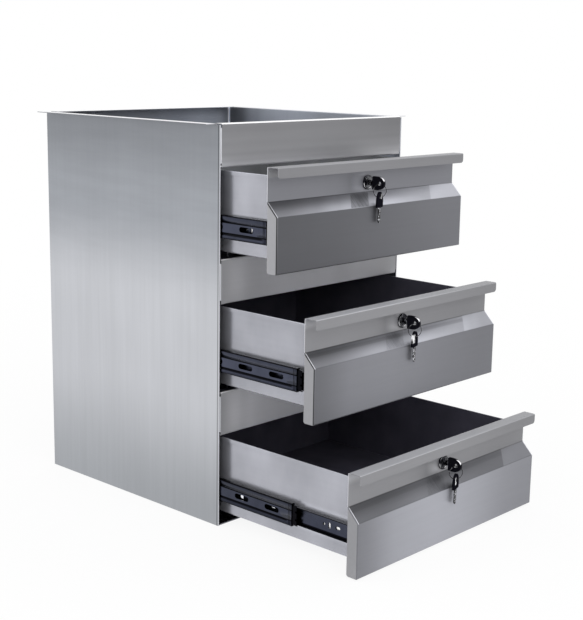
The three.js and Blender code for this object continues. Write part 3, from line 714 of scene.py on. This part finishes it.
def slide_finish(name="slide_finish", level=1.0, centre=None, edge=0.0157, end=None):
    """Dark blued zinc of the slides, black from the given distance to the centre height. A middle member has
    its front end given too: two pressed lines, the marks of its end and a black ball cage that stands out."""
    material, inputs, place = new_material(name, 0.3, 1.0)
    grain = use_group(BRUSHED_GRAIN, place, ALONG_Y)
    cloud = use_group(CLOUDING, place, (18, 18, 18))
    colour = scaled(mix_colours(cloud["Smears"], (0.044, 0.049, 0.070), (0.086, 0.094, 0.136)), level)
    colour = mix_colours(faces(normals(place)[2]), colour, DARK_LINE)
    if centre:
        _, along, height = axes(place)
        offset = height - centre
        beyond = ranged(abs(offset), edge - 0.0005, edge + 0.0005)
        colour = mix_colours(beyond, colour, BLACK_EDGE)
    if end:
        high, low = (crease * MM for crease in CREASE_LEVELS)
        below = ranged(offset, low, low + 0.001, 0.5, 1.0)
        above = ranged(offset, high, high + 0.001, 1.0, 0.75)
        colour = scaled(colour, below * above)
        # Painted shade in the two pressed lines
        for crease in (high, low):
            colour = mix_colours(inside_of(offset, crease, 0.0009, EDGE_BLUR), colour, (0.002, 0.002, 0.003))
        for mark in END_MARKS:
            colour = mix_colours(inside_of(along, end + mark * MM, 0.0007, EDGE_BLUR), colour, DARK_LINE)
        colour = mix_colours(falling(along, end - 0.0004, end), colour, BLACK_EDGE)
    feed(inputs["Base Color"], colour)
    feed(inputs["Roughness"], varied(cloud["Clouds"], 0.2, 0.32))
    bump_into(inputs, grain["Streaks"], 0.03, 0.0002)
    return material


# Directions in which the polished pieces take painted glints, white highlights in their base colour
CHROME_GLINTS = ((-0.35, -0.6, 0.72), (-0.75, -0.55, -0.35), (0.5, -0.6, -0.62))
HEAD_GLINTS = ((-0.25, -0.62, 0.74),)
# Painted reflection of a white patch on the head of each spare key, in mm from its hole: place across and up,
# and reach
SPARE_REFLECTIONS = {1: (5, 2.5, 2, 3.5), 2: (-5.6, -1.4, 4.4, 6), 3: (-2.5, -1.5, 2, 5.5)}


def polished_chrome():
    material, inputs, place = new_material("polished_chrome", 0.12, 1)
    cloud = use_group(CLOUDING, place, (110, 110, 110))
    # Dark chrome with lighter clouds, a painted reflection of dark surroundings, and painted white glints
    colour = mix_colours(ranged(cloud["Clouds"], 0.42, 0.62), (0.012, 0.012, 0.017), (0.13, 0.132, 0.14))
    bright = glints(place, CHROME_GLINTS, 0.97, 0.9)
    feed(inputs["Base Color"], mix_colours(bright, colour, (0.92, 0.92, 0.94)))
    feed(inputs["Roughness"], varied(cloud["Smears"], 0.08, 0.2))
    return material


def zinc_plate(name, dark, bright, roughness):
    material, inputs, place = new_material(name, roughness, 1)
    cloud = use_group(CLOUDING, place, (120, 120, 120))
    feed(inputs["Base Color"], mix_colours(cloud["Smears"], tinted(dark), tinted(bright)))
    feed(inputs["Roughness"], varied(cloud["Clouds"], roughness * 0.8, roughness * 1.2))
    return material


def spare_reflection(number):
    """The painted reflection of white on the head of a spare key, which hangs turned about the upright."""
    low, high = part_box(f"lock_housing_{number}")
    hole_y = low.y + (BEZEL_HEIGHT + HEAD_HOLE_Y) * MM
    hole_z = (low.z + high.z) / 2 + SPARE_DROP * MM
    across, up, wide, tall = (size * MM for size in SPARE_REFLECTIONS[number])

    def mask(place):
        x, y, z = axes(place)
        aside = x * -math.sin(SPARE_TURN) + (y - hole_y) * math.cos(SPARE_TURN)
        return inside_of(aside, across, wide, 0.0006) * inside_of(z, hole_z + up, tall, 0.0012)
    return mask


def black_plastic(name, bright, gloss=0.02):
    """Glossy black moulding. bright makes the mask of its painted white highlights and reflections from the
    coordinates.
    """
    material, inputs, place = new_material(name, 0.2, 0)
    inputs["Specular IOR Level"].default_value = gloss
    cloud = use_group(CLOUDING, place, (160, 160, 160))
    colour = mix_colours(cloud["Smears"], (0.004, 0.004, 0.007), (0.009, 0.009, 0.013))
    light = bright(place) * ranged(cloud["Clouds"], 0.35, 0.5, 0.3, 1.0)
    feed(inputs["Base Color"], mix_colours(light, colour, (0.95, 0.95, 0.97)))
    feed(inputs["Roughness"], varied(cloud["Smears"], 0.14, 0.28))
    bump_into(inputs, cloud["Smears"], 0.05, 0.0002)
    return material


def nickel(name, dark, bright, scale):
    """Plated blades and rings, streaked with painted dark and bright reflections."""
    material, inputs, place = new_material(name, 0.2, 1)
    grain = use_group(BRUSHED_GRAIN, place, (2500, 2500, 300))
    spots = ranged(noise(place, scale, 1.0, 0.4), 0.52, 0.62)
    feed(inputs["Base Color"], mix_colours(spots, tinted(dark), tinted(bright)))
    feed(inputs["Roughness"], ranged(grain["Grain"], 0.2, 0.8, 0.12, 0.28))
    return material


def finish_all():
    """Gives every node of the CAD model its finish, and returns the finishes that new pieces share."""
    case_side, slide, chrome = case_side_steel(), slide_finish(level=0.55), polished_chrome()
    zinc, blade = zinc_plate("zinc_plate", 0.42, 0.58, 0.4), nickel("nickel_blade", 0.015, 0.62, 420)
    plastic = black_plastic("black_plastic", lambda place: glints(place, HEAD_GLINTS, 0.95, 0.88))
    pan_tone = height_tones((0.0, 0.31), (0.7, 0.3131))
    top_tone = rail_tone("top_rail", TOP_RAIL_LIGHT_TONES, TOP_RAIL_PAINTED_LIGHT, TOP_RAIL_EDGE_LIGHT)
    finishes = {"left_side_panel": case_side, "right_side_panel": case_side, "back_panel": back_steel(),
                "bottom_panel": satin_steel("pan_sheet", pan_tone, ALONG_X)[0],
                "top_rail": satin_steel("rail_sheet", top_tone, ALONG_X, roughness=0.3, metallic=0.55)[0]}
    for n, tones in MIDDLE_RAIL_LIGHT_TONES.items():
        rail = f"middle_rail_{n}"
        finishes[rail] = satin_steel(f"middle_rail_sheet_{n}", rail_tone(rail, tones), ALONG_X, roughness=0.5,
                                     metallic=0.1)[0]
    slides = [f"{side}_{part}" for side in SIDES for part in ("case_slide", "runner", "drawer_slide")]
    shared = ((slide, slides), (chrome, ("lock_housing", "lock_plug")), (zinc, ("lock_nut", "lock_cam")),
              (plastic, ("key_head", "spare_head")), (blade, ("key_blade", "spare_blade", "key_ring")))
    finish = {"chrome": chrome, "plastic": plastic, "blade": blade,
              "stop": zinc_plate("bright_stop", 0.88, 0.94, 0.07),
              "wire": nickel("ring_wire", 0.03, 0.2, 200)}
    for n in DRAWERS:
        finishes[f"drawer_box_{n}"] = box_steel(n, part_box(f"drawer_front_{n}")[0].z)
        finishes[f"drawer_front_{n}"] = front_steel(n)
        finishes.update({f"{part}_{n}": material for material, parts in shared for part in parts})
        finish[f"spare_plastic_{n}"] = black_plastic(f"spare_black_plastic_{n}", spare_reflection(n), 0.0)
        low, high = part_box(f"left_runner_{n}")
        centre, end = (low.z + high.z) / 2, low.y + CAGE_END * MM
        finish[f"runner_{n}"] = slide_finish(f"runner_finish_{n}", RUNNER_LIGHT_LEVELS[n], centre, end=end)
        finish[f"member_{n}"] = slide_finish(f"member_finish_{n}", MEMBER_LEVEL, centre, MEMBER_EDGE)
    for name, material in finishes.items():
        for slot in NODES[name].material_slots:
            slot.material = material
    return finish


# Modelling helpers, with lengths in mm
def take(piece):
    """Selects the piece alone."""
    for item in bpy.context.selected_objects:
        item.select_set(False)
    piece.select_set(True)
    bpy.context.view_layer.objects.active = piece


def seat(piece):
    """Puts the piece's place and turn into its mesh."""
    take(piece)
    bpy.ops.object.transform_apply(location=True, rotation=True, scale=True)
    return piece


def rod(radius, start, end, along="Y", facets=64, at=(0, 0, 0)):
    """A plain rod from which a piece is shaped."""
    middle = Vector(at) * MM
    middle["XYZ".index(along)] = (start + end) / 2 * MM
    turn = {"X": (0, math.pi / 2, 0), "Y": (math.pi / 2, 0, 0)}[along]
    bpy.ops.mesh.primitive_cylinder_add(vertices=facets, radius=radius * MM, depth=(end - start) * MM,
                                        location=middle, rotation=turn)
    return seat(bpy.context.object)


def bar(low, high):
    """A plain bar between two corners, from which a piece is shaped."""
    low, high = Vector(low) * MM, Vector(high) * MM
    bpy.ops.mesh.primitive_cube_add(size=1, location=(low + high) / 2, scale=high - low)
    return seat(bpy.context.object)


def edit(piece):
    take(piece)
    bpy.ops.object.mode_set(mode="EDIT")


def leave():
    bpy.ops.object.mode_set(mode="OBJECT")


def pick(piece, kind, test):
    """In edit mode, selects the corners, edges or faces that pass a test."""
    bpy.ops.mesh.select_mode(type=kind)
    bpy.ops.mesh.select_all(action="DESELECT")
    shape = bmesh.from_edit_mesh(piece.data)
    shape.normal_update()
    for item in {"VERT": shape.verts, "EDGE": shape.edges, "FACE": shape.faces}[kind]:
        if test(item):
            item.select_set(True)
    shape.select_flush_mode()
    bmesh.update_edit_mesh(piece.data)


def pick_all():
    bpy.ops.mesh.select_all(action="SELECT")


def pick_end(piece, way):
    """Selects the flat faces that look along Y, or against it where way is -1."""
    pick(piece, "FACE", lambda face: face.normal.y * way > 0.9)


def shift(y=0, z=0):
    bpy.ops.transform.translate(value=(0, y * MM, z * MM))


def pull(y):
    bpy.ops.mesh.extrude_region_move(TRANSFORM_OT_translate={"value": (0, y * MM, 0)})


def squeeze(centre, x=1, y=1, z=1):
    bpy.ops.transform.resize(value=(x, y, z), center_override=Vector(centre) * MM)


def inset(width, depth=0):
    bpy.ops.mesh.inset(thickness=width * MM, depth=depth * MM)


def slice_at(y, **values):
    """Cuts the whole piece along a plane across Y."""
    pick_all()
    bpy.ops.mesh.bisect(plane_co=(0, y * MM, 0), plane_no=(0, 1, 0), **values)


def apply_modifiers(piece):
    take(piece)
    for modifier in list(piece.modifiers):
        bpy.ops.object.modifier_apply(modifier=modifier.name)


def cut_away(piece, cutter):
    modifier = piece.modifiers.new("opening", "BOOLEAN")
    modifier.operation = "DIFFERENCE"
    modifier.solver = "EXACT"
    modifier.object = cutter
    apply_modifiers(piece)
    bpy.data.objects.remove(cutter)


def round_edges(piece, width, segments=3, angle=35):
    modifier = piece.modifiers.new("soft_edge", "BEVEL")
    modifier.width = width * MM
    modifier.segments = segments
    modifier.limit_method = "ANGLE"
    modifier.angle_limit = math.radians(angle)
    apply_modifiers(piece)


def smooth(piece, angle):
    take(piece)
    bpy.ops.object.shade_smooth_by_angle(angle=math.radians(angle))


def merged_copy(node, name):
    """A node's mesh as one closed skin, to be worked further."""
    piece = NODES[node].copy()
    piece.data = NODES[node].data.copy()
    piece.name = name
    piece.parent = None
    bpy.context.scene.collection.objects.link(piece)
    edit(piece)
    pick_all()
    bpy.ops.mesh.remove_doubles(threshold=0.00001)
    bpy.ops.mesh.dissolve_limited(angle_limit=math.radians(0.5))
    leave()
    return piece


def twin(model, name, place):
    """A copy of a model with its own mesh, moved by a matrix."""
    piece = model.copy()
    piece.data = model.data.copy()
    piece.data.transform(place)
    piece.name = piece.data.name = name
    bpy.context.scene.collection.objects.link(piece)
    return piece


def fit(piece, body, slot, finish, *replaced):
    """Gives a finished piece its finish and its body, and hides the nodes that it stands for."""
    piece.data.materials.clear()
    piece.data.materials.append(finish)
    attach(piece, body)
    if replaced:
        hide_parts(*replaced)


# Shaping of the lock and keys, in mm
RIM_WIDTH = 1.9
DISH_WIDTH = 1.1
DISH_DEPTH = 0.7
SEAT_WIDTH = 0.5
RIM_ROLL = 1.3
PLUG_BEVEL = 0.7
PLUG_BEVEL_DEPTH = 0.35
KEYWAY_GAP = 0.3
TAIL_HEAD_RADIUS = 4.8
HEAD_CORNER = 2
HEAD_BORDER = 1.7
HEAD_GROOVE = 0.3
BLADE_ROOT = 5
TIP_SHARE = 0.32
GROOVE_PLACE = 1
GROOVE_HALF = 0.15
GROOVE_LEVELS = (-1.9, -0.5)
WIRE_RADIUS = 0.45
WIRE_FLATNESS = 0.55
WIRE_PITCH = 0.5


def make_housing():
    """Chromed bezel with a rolled rim and a dished seat round the plug, on a barrel with two flats."""
    housing = rod(BEZEL_RADIUS, -BEZEL_HEIGHT, -0.1, facets=72)
    edit(housing)
    pick_end(housing, 1)
    inset(BEZEL_RADIUS - BARREL_RADIUS)
    pull(BARREL_END)
    for side in (-1, 1):
        pick(housing, "VERT", lambda v: v.co.x * side > BARREL_FLAT * MM and v.co.y > -0.2 * MM
             and v.co.xz.length < (BARREL_RADIUS + 0.2) * MM)
        squeeze((side * BARREL_FLAT, 0, 0), x=0)
    pick_end(housing, -1)
    inset(RIM_WIDTH)
    inset(DISH_WIDTH)
    shift(y=DISH_DEPTH)
    inset(SEAT_WIDTH)
    face, rim = (0.01 - BEZEL_HEIGHT) * MM, (BEZEL_RADIUS - 0.1) * MM
    pick(housing, "EDGE", lambda edge: all(v.co.y < face and v.co.xz.length > rim for v in edge.verts))
    bpy.ops.mesh.bevel(offset=RIM_ROLL * MM, segments=6)
    leave()
    cut_away(housing, rod(PLUG_RADIUS + PLUG_GAP, -BEZEL_HEIGHT * 2, BARREL_END * 2))
    smooth(housing, 32)
    return housing


def make_plug():
    """Plug with a bevelled face, the keyway, a square tail and the head that holds the cam."""
    plug = rod(PLUG_RADIUS, PLUG_FACE, BARREL_END)
    edit(plug)
    pick_end(plug, -1)
    inset(PLUG_BEVEL)
    shift(y=-PLUG_BEVEL_DEPTH)
    leave()
    keyway = (BLADE_THICK / 2 + KEYWAY_GAP, BLADE_TIP + KEYWAY_GAP, BLADE_HALF + KEYWAY_GAP)
    cut_away(plug, bar((-keyway[0], PLUG_FACE * 2, -keyway[2]), keyway))
    tail = bar((-TAIL_HALF, BARREL_END - 0.5, -TAIL_HALF), (TAIL_HALF, TAIL_END + 0.5, TAIL_HALF))
    head = rod(TAIL_HEAD_RADIUS, TAIL_END, TAIL_HEAD, facets=32)
    round_edges(head, 0.4)
    take(plug)
    tail.select_set(True)
    head.select_set(True)
    bpy.ops.object.join()
    smooth(plug, 32)
    return plug


def make_key_head():
    """Moulded head: a flat base, a rounded far end, a raised border and a hole."""
    round_y = HEAD_BASE - HEAD_STRAIGHT
    head = rod(HEAD_HALF, -HEAD_THICK / 2, HEAD_THICK / 2, along="X", at=(0, round_y, 0))
    edit(head)
    pick(head, "VERT", lambda v: v.co.y < round_y * MM - TINY)
    squeeze((0, round_y, 0), y=(HEAD_LENGTH - HEAD_STRAIGHT) / HEAD_HALF)
    slice_at(round_y, use_fill=True, clear_outer=True)
    pick_end(head, 1)
    pull(HEAD_STRAIGHT)
    pick(head, "EDGE", lambda edge: all(v.co.y > (HEAD_BASE - 0.1) * MM for v in edge.verts)
         and abs(edge.verts[0].co.x - edge.verts[1].co.x) > HEAD_THICK / 2 * MM)
    bpy.ops.mesh.bevel(offset=HEAD_CORNER * MM, segments=4)
    pick(head, "FACE", lambda face: abs(face.normal.x) > 0.99)
    bpy.ops.mesh.dissolve_faces()
    pick(head, "FACE", lambda face: abs(face.normal.x) > 0.99)
    inset(HEAD_BORDER)
    inset(HEAD_GROOVE, -HEAD_GROOVE)
    leave()
    cut_away(head, rod(HEAD_HOLE, -HEAD_THICK, HEAD_THICK, along="X", facets=40, at=(0, HEAD_HOLE_Y, 0)))
    round_edges(head, 0.7)
    smooth(head, 60)
    return head


def make_key_blade():
    """Flat blade with four cuts along one edge, a blunt tip and a milled groove on each side."""
    half = BLADE_THICK / 2
    blade = bar((-half, HEAD_BASE - BLADE_ROOT, -BLADE_HALF), (half, BLADE_TIP, BLADE_HALF))
    edit(blade)
    lows = []
    slice_at(NOTCH_START)
    for n, depth in enumerate(NOTCH_DEPTHS):
        start = NOTCH_START - n * NOTCH_PITCH
        lows += [(start - NOTCH_PITCH / 4, depth), (start - NOTCH_PITCH / 2, depth)]
        for share in (0.25, 0.5, 0.75):
            slice_at(start - NOTCH_PITCH * share)
    for y, depth in lows:
        pick(blade, "VERT", lambda v: abs(v.co.y - y * MM) < TINY * 10 and v.co.z > 0)
        shift(z=-depth)
    pick(blade, "VERT", lambda v: v.co.y > (BLADE_TIP - 0.01) * MM)
    squeeze((0, BLADE_TIP, 0), z=TIP_SHARE)
    leave()
    for place in (-GROOVE_PLACE, GROOVE_PLACE):
        cut_away(blade, bar((place - GROOVE_HALF, HEAD_BASE - 1, GROOVE_LEVELS[0]),
                            (place + GROOVE_HALF, NOTCH_START - 1, GROOVE_LEVELS[1])))
    round_edges(blade, 0.12, 2, 30)
    smooth(blade, 30)
    return blade


def make_split_ring():
    """Flat spring wire wound twice, about the Y axis."""
    start = (RING_RADIUS, 0, -WIRE_PITCH)
    bpy.ops.mesh.primitive_circle_add(vertices=10, radius=WIRE_RADIUS * MM, fill_type="NOTHING",
                                      location=Vector(start) * MM, rotation=(math.pi / 2, 0, 0))
    ring = seat(bpy.context.object)
    edit(ring)
    pick_all()
    squeeze(start, z=WIRE_FLATNESS)
    leave()
    turns = ring.modifiers.new("turns", "SCREW")
    turns.axis = "Z"
    turns.angle = 2 * math.pi
    turns.iterations = 2
    turns.screw_offset = WIRE_PITCH * MM
    turns.steps = turns.render_steps = 64
    apply_modifiers(ring)
    edit(ring)
    pick_all()
    bpy.ops.mesh.remove_doubles(threshold=TINY)
    bpy.ops.mesh.fill_holes(sides=12)
    pick_all()
    bpy.ops.mesh.normals_make_consistent(inside=False)
    leave()
    ring.data.transform(Matrix.Rotation(math.radians(-90), 4, "X"))
    smooth(ring, 60)
    return ring


def make_locks(finish):
    models = {"housing": make_housing(), "plug": make_plug(), "head": make_key_head(),
              "blade": make_key_blade(), "ring": make_split_ring()}
    for n in DRAWERS:
        low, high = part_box(f"lock_housing_{n}")
        axis = Matrix.Translation((0, low.y + BEZEL_HEIGHT * MM, (low.z + high.z) / 2))
        ring = (axis @ Matrix.Translation((0, HEAD_HOLE_Y * MM, (RING_TOP - RING_RADIUS) * MM))
                @ Matrix.Rotation(RING_TURN, 4, "Z"))
        spare = (axis @ Matrix.Translation((0, HEAD_HOLE_Y * MM, SPARE_DROP * MM))
                 @ Matrix.Rotation(SPARE_TURN, 4, "Z") @ Matrix.Rotation(math.radians(-90), 4, "X")
                 @ Matrix.Translation((0, -HEAD_HOLE_Y * MM, 0)))
        pieces = (("housing", "bezel", axis, "drawer", "lock_chrome", "chrome", "lock_housing"),
                  ("plug", "plug", axis, "lock", "lock_chrome", "chrome", "lock_plug"),
                  ("head", "key_grip", axis, "lock", "key_plastic", "plastic", "key_head"),
                  ("blade", "key_shank", axis, "lock", "key_metal", "blade", "key_blade"),
                  ("ring", "split_ring", ring, "ring", "ring_steel", "wire", "key_ring"),
                  ("head", "spare_grip", spare, "spare", "key_plastic", f"spare_plastic_{n}", "spare_head"),
                  ("blade", "spare_shank", spare, "spare", "key_metal", "blade", "spare_blade"))
        for model, name, place, body, slot, metal, node in pieces:
            fit(twin(models[model], f"{name}_{n}", place), f"{body}_{n}", slot, finish[metal], f"{node}_{n}")
    for model in models.values():
        bpy.data.objects.remove(model)


def member_model(side_name, part, name):
    """A copy of the first drawer's member, with its corners and centre height in mm."""
    node = f"{side_name}_{part}_1"
    low, high = (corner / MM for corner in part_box(node))
    return merged_copy(node, name), low, high, (low.z + high.z) / 2


def make_slides(finish):
    """Middle members with two pressed lines and an open cage, and drawer members with two bright stops."""
    for side_name, side in zip(SIDES, (-1, 1)):
        runner, low, high, centre = member_model(side_name, "runner", "runner_model")
        outside = high.x if side > 0 else low.x
        for level in CREASE_LEVELS:
            cut_away(runner, bar((outside - CREASE_DEPTH, low.y - 1, centre + level - CREASE_HALF),
                                 (outside + CREASE_DEPTH, high.y + 1, centre + level + CREASE_HALF)))
        inner, outer = sorted(outside - side * depth for depth in WINDOW_DEPTHS)
        start = low.y + CAGE_END
        cut_away(runner, bar((inner, start + WINDOW[0], centre - WINDOW_HALF),
                             (outer, start + WINDOW[1], centre + WINDOW_HALF)))
        for bottom, top in NOTCH_LEVELS:
            cut_away(runner, bar((outside - NOTCH_REACH, low.y - 1, centre + bottom),
                                 (outside + NOTCH_REACH, low.y + NOTCH_LENGTH, centre + top)))
        smooth(runner, 30)
        member, low, high, centre = member_model(side_name, "drawer_slide", "drawer_member_model")
        smooth(member, 30)
        web = low.x if side > 0 else high.x
        left, right = sorted((web - side * STOP_SINK, web + side * STOP_REACH))
        stops = []
        for start, end, bottom, top in STOPS:
            stop = bar((left, low.y + start, centre + bottom), (right, low.y + end, centre + top))
            round_edges(stop, 0.25, 2)
            smooth(stop, 30)
            stops.append(stop)
        for n in DRAWERS:
            places = {part: Matrix.Translation(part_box(f"{side_name}_{part}_{n}")[0]
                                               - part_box(f"{side_name}_{part}_1")[0])
                      for part in ("runner", "drawer_slide")}
            for number, stop in enumerate(stops, 1):
                fit(twin(stop, f"{side_name}_stop_{number}_of_{n}", places["drawer_slide"]), f"drawer_{n}",
                    "slide_steel", finish["stop"])
            for model, part, body, metal in ((runner, "runner", "runner", "runner"),
                                             (member, "drawer_slide", "drawer", "member")):
                fit(twin(model, f"{side_name}_{part}_steel_{n}", places[part]), f"{body}_{n}", "slide_steel",
                    finish[f"{metal}_{n}"], f"{side_name}_{part}_{n}")
        for model in (runner, member, *stops):
            bpy.data.objects.remove(model)


# Floor, background and lamps
FLOOR_SIZE = 60
FLOOR_GAP = 0.0005
WORLD_LIGHT = 0.9
# Distances from the middle over which the floor turns to white, and the share of white at the first
FLOOR_FADE = (0.5, 2.2)
FLOOR_WHITE = 0.9
SHOWN_RAYS = ("Is Camera Ray", "Is Glossy Ray", "Is Transmission Ray")
# Name, place, aim, size in m and power in W
LAMPS = (("front_softbox", (-0.9, -2.6, 2.6), (0, -0.1, 0.3), 2.4, 28),
         ("right_softbox", (2.0, -0.7, 2.0), (0, -0.3, 0.4), 1.8, 6),
         ("left_softbox", (-2.6, 1.2, 1.6), (0, 0, 0.3), 1.8, 14))


def shown_rays(tree):
    """1 for the rays that show the surroundings, and 0 for those that only light the scene."""
    rays = add(tree, "LightPath")
    seen, *others = (Value(tree, rays.outputs[name]) for name in SHOWN_RAYS)
    for other in others:
        seen = worked("MAXIMUM", seen, other)
    return seen


def mix_shaders(tree, factor, first, second, output):
    """Feeds the mix of two shader nodes to the output of a tree."""
    mixed = add(tree, "MixShader")
    feed(mixed.inputs[0], factor)
    tree.links.new(first.outputs[0], mixed.inputs[1])
    tree.links.new(second.outputs[0], mixed.inputs[2])
    tree.links.new(mixed.outputs[0], add(tree, output).inputs[0])


def make_floor():
    bpy.ops.mesh.primitive_plane_add(size=FLOOR_SIZE, location=(0, 0, -FLOOR_GAP))
    floor = bpy.context.object
    floor.name = "floor"
    material = bpy.data.materials.new("pale_floor")
    material.use_nodes = True
    tree = material.node_tree
    tree.nodes.clear()
    place = coordinates_of(tree, "Object")
    diffuse = add(tree, "BsdfDiffuse")
    feed(diffuse.inputs[0], mix_colours(noise(place, 30, 3, 0.6), (0.88, 0.88, 0.88), (0.92, 0.92, 0.92)))
    distance = made("VectorMath", {0: place}, "Value", operation="LENGTH")
    share = shown_rays(tree) * ranged(distance, *FLOOR_FADE, FLOOR_WHITE, 1.0)
    white = add(tree, "Emission", Strength=1.0)
    mix_shaders(tree, share, diffuse, white, "OutputMaterial")
    floor.data.materials.append(material)


def make_world():
    world = bpy.data.worlds.new("studio")
    bpy.context.scene.world = world
    world.use_nodes = True
    tree = world.node_tree
    tree.nodes.clear()
    soft, white = (add(tree, "Background", Strength=level, Color=(1, 1, 1, 1))
                   for level in (WORLD_LIGHT, 1.0))
    mix_shaders(tree, shown_rays(tree), soft, white, "OutputWorld")


def make_lamp(name, place, aim, size, power):
    lamp = bpy.data.lights.new(name, "AREA")
    lamp.size = size
    lamp.energy = power
    stand = bpy.data.objects.new(name, lamp)
    stand.location = place
    stand.rotation_euler = (Vector(aim) - Vector(place)).to_track_quat("-Z", "Y").to_euler()
    bpy.context.scene.collection.objects.link(stand)


make_camera()
finish = finish_all()
make_locks(finish)
make_slides(finish)
make_floor()
make_world()
for lamp in LAMPS:
    make_lamp(*lamp)
bpy.context.scene.view_settings.view_transform = "Standard"
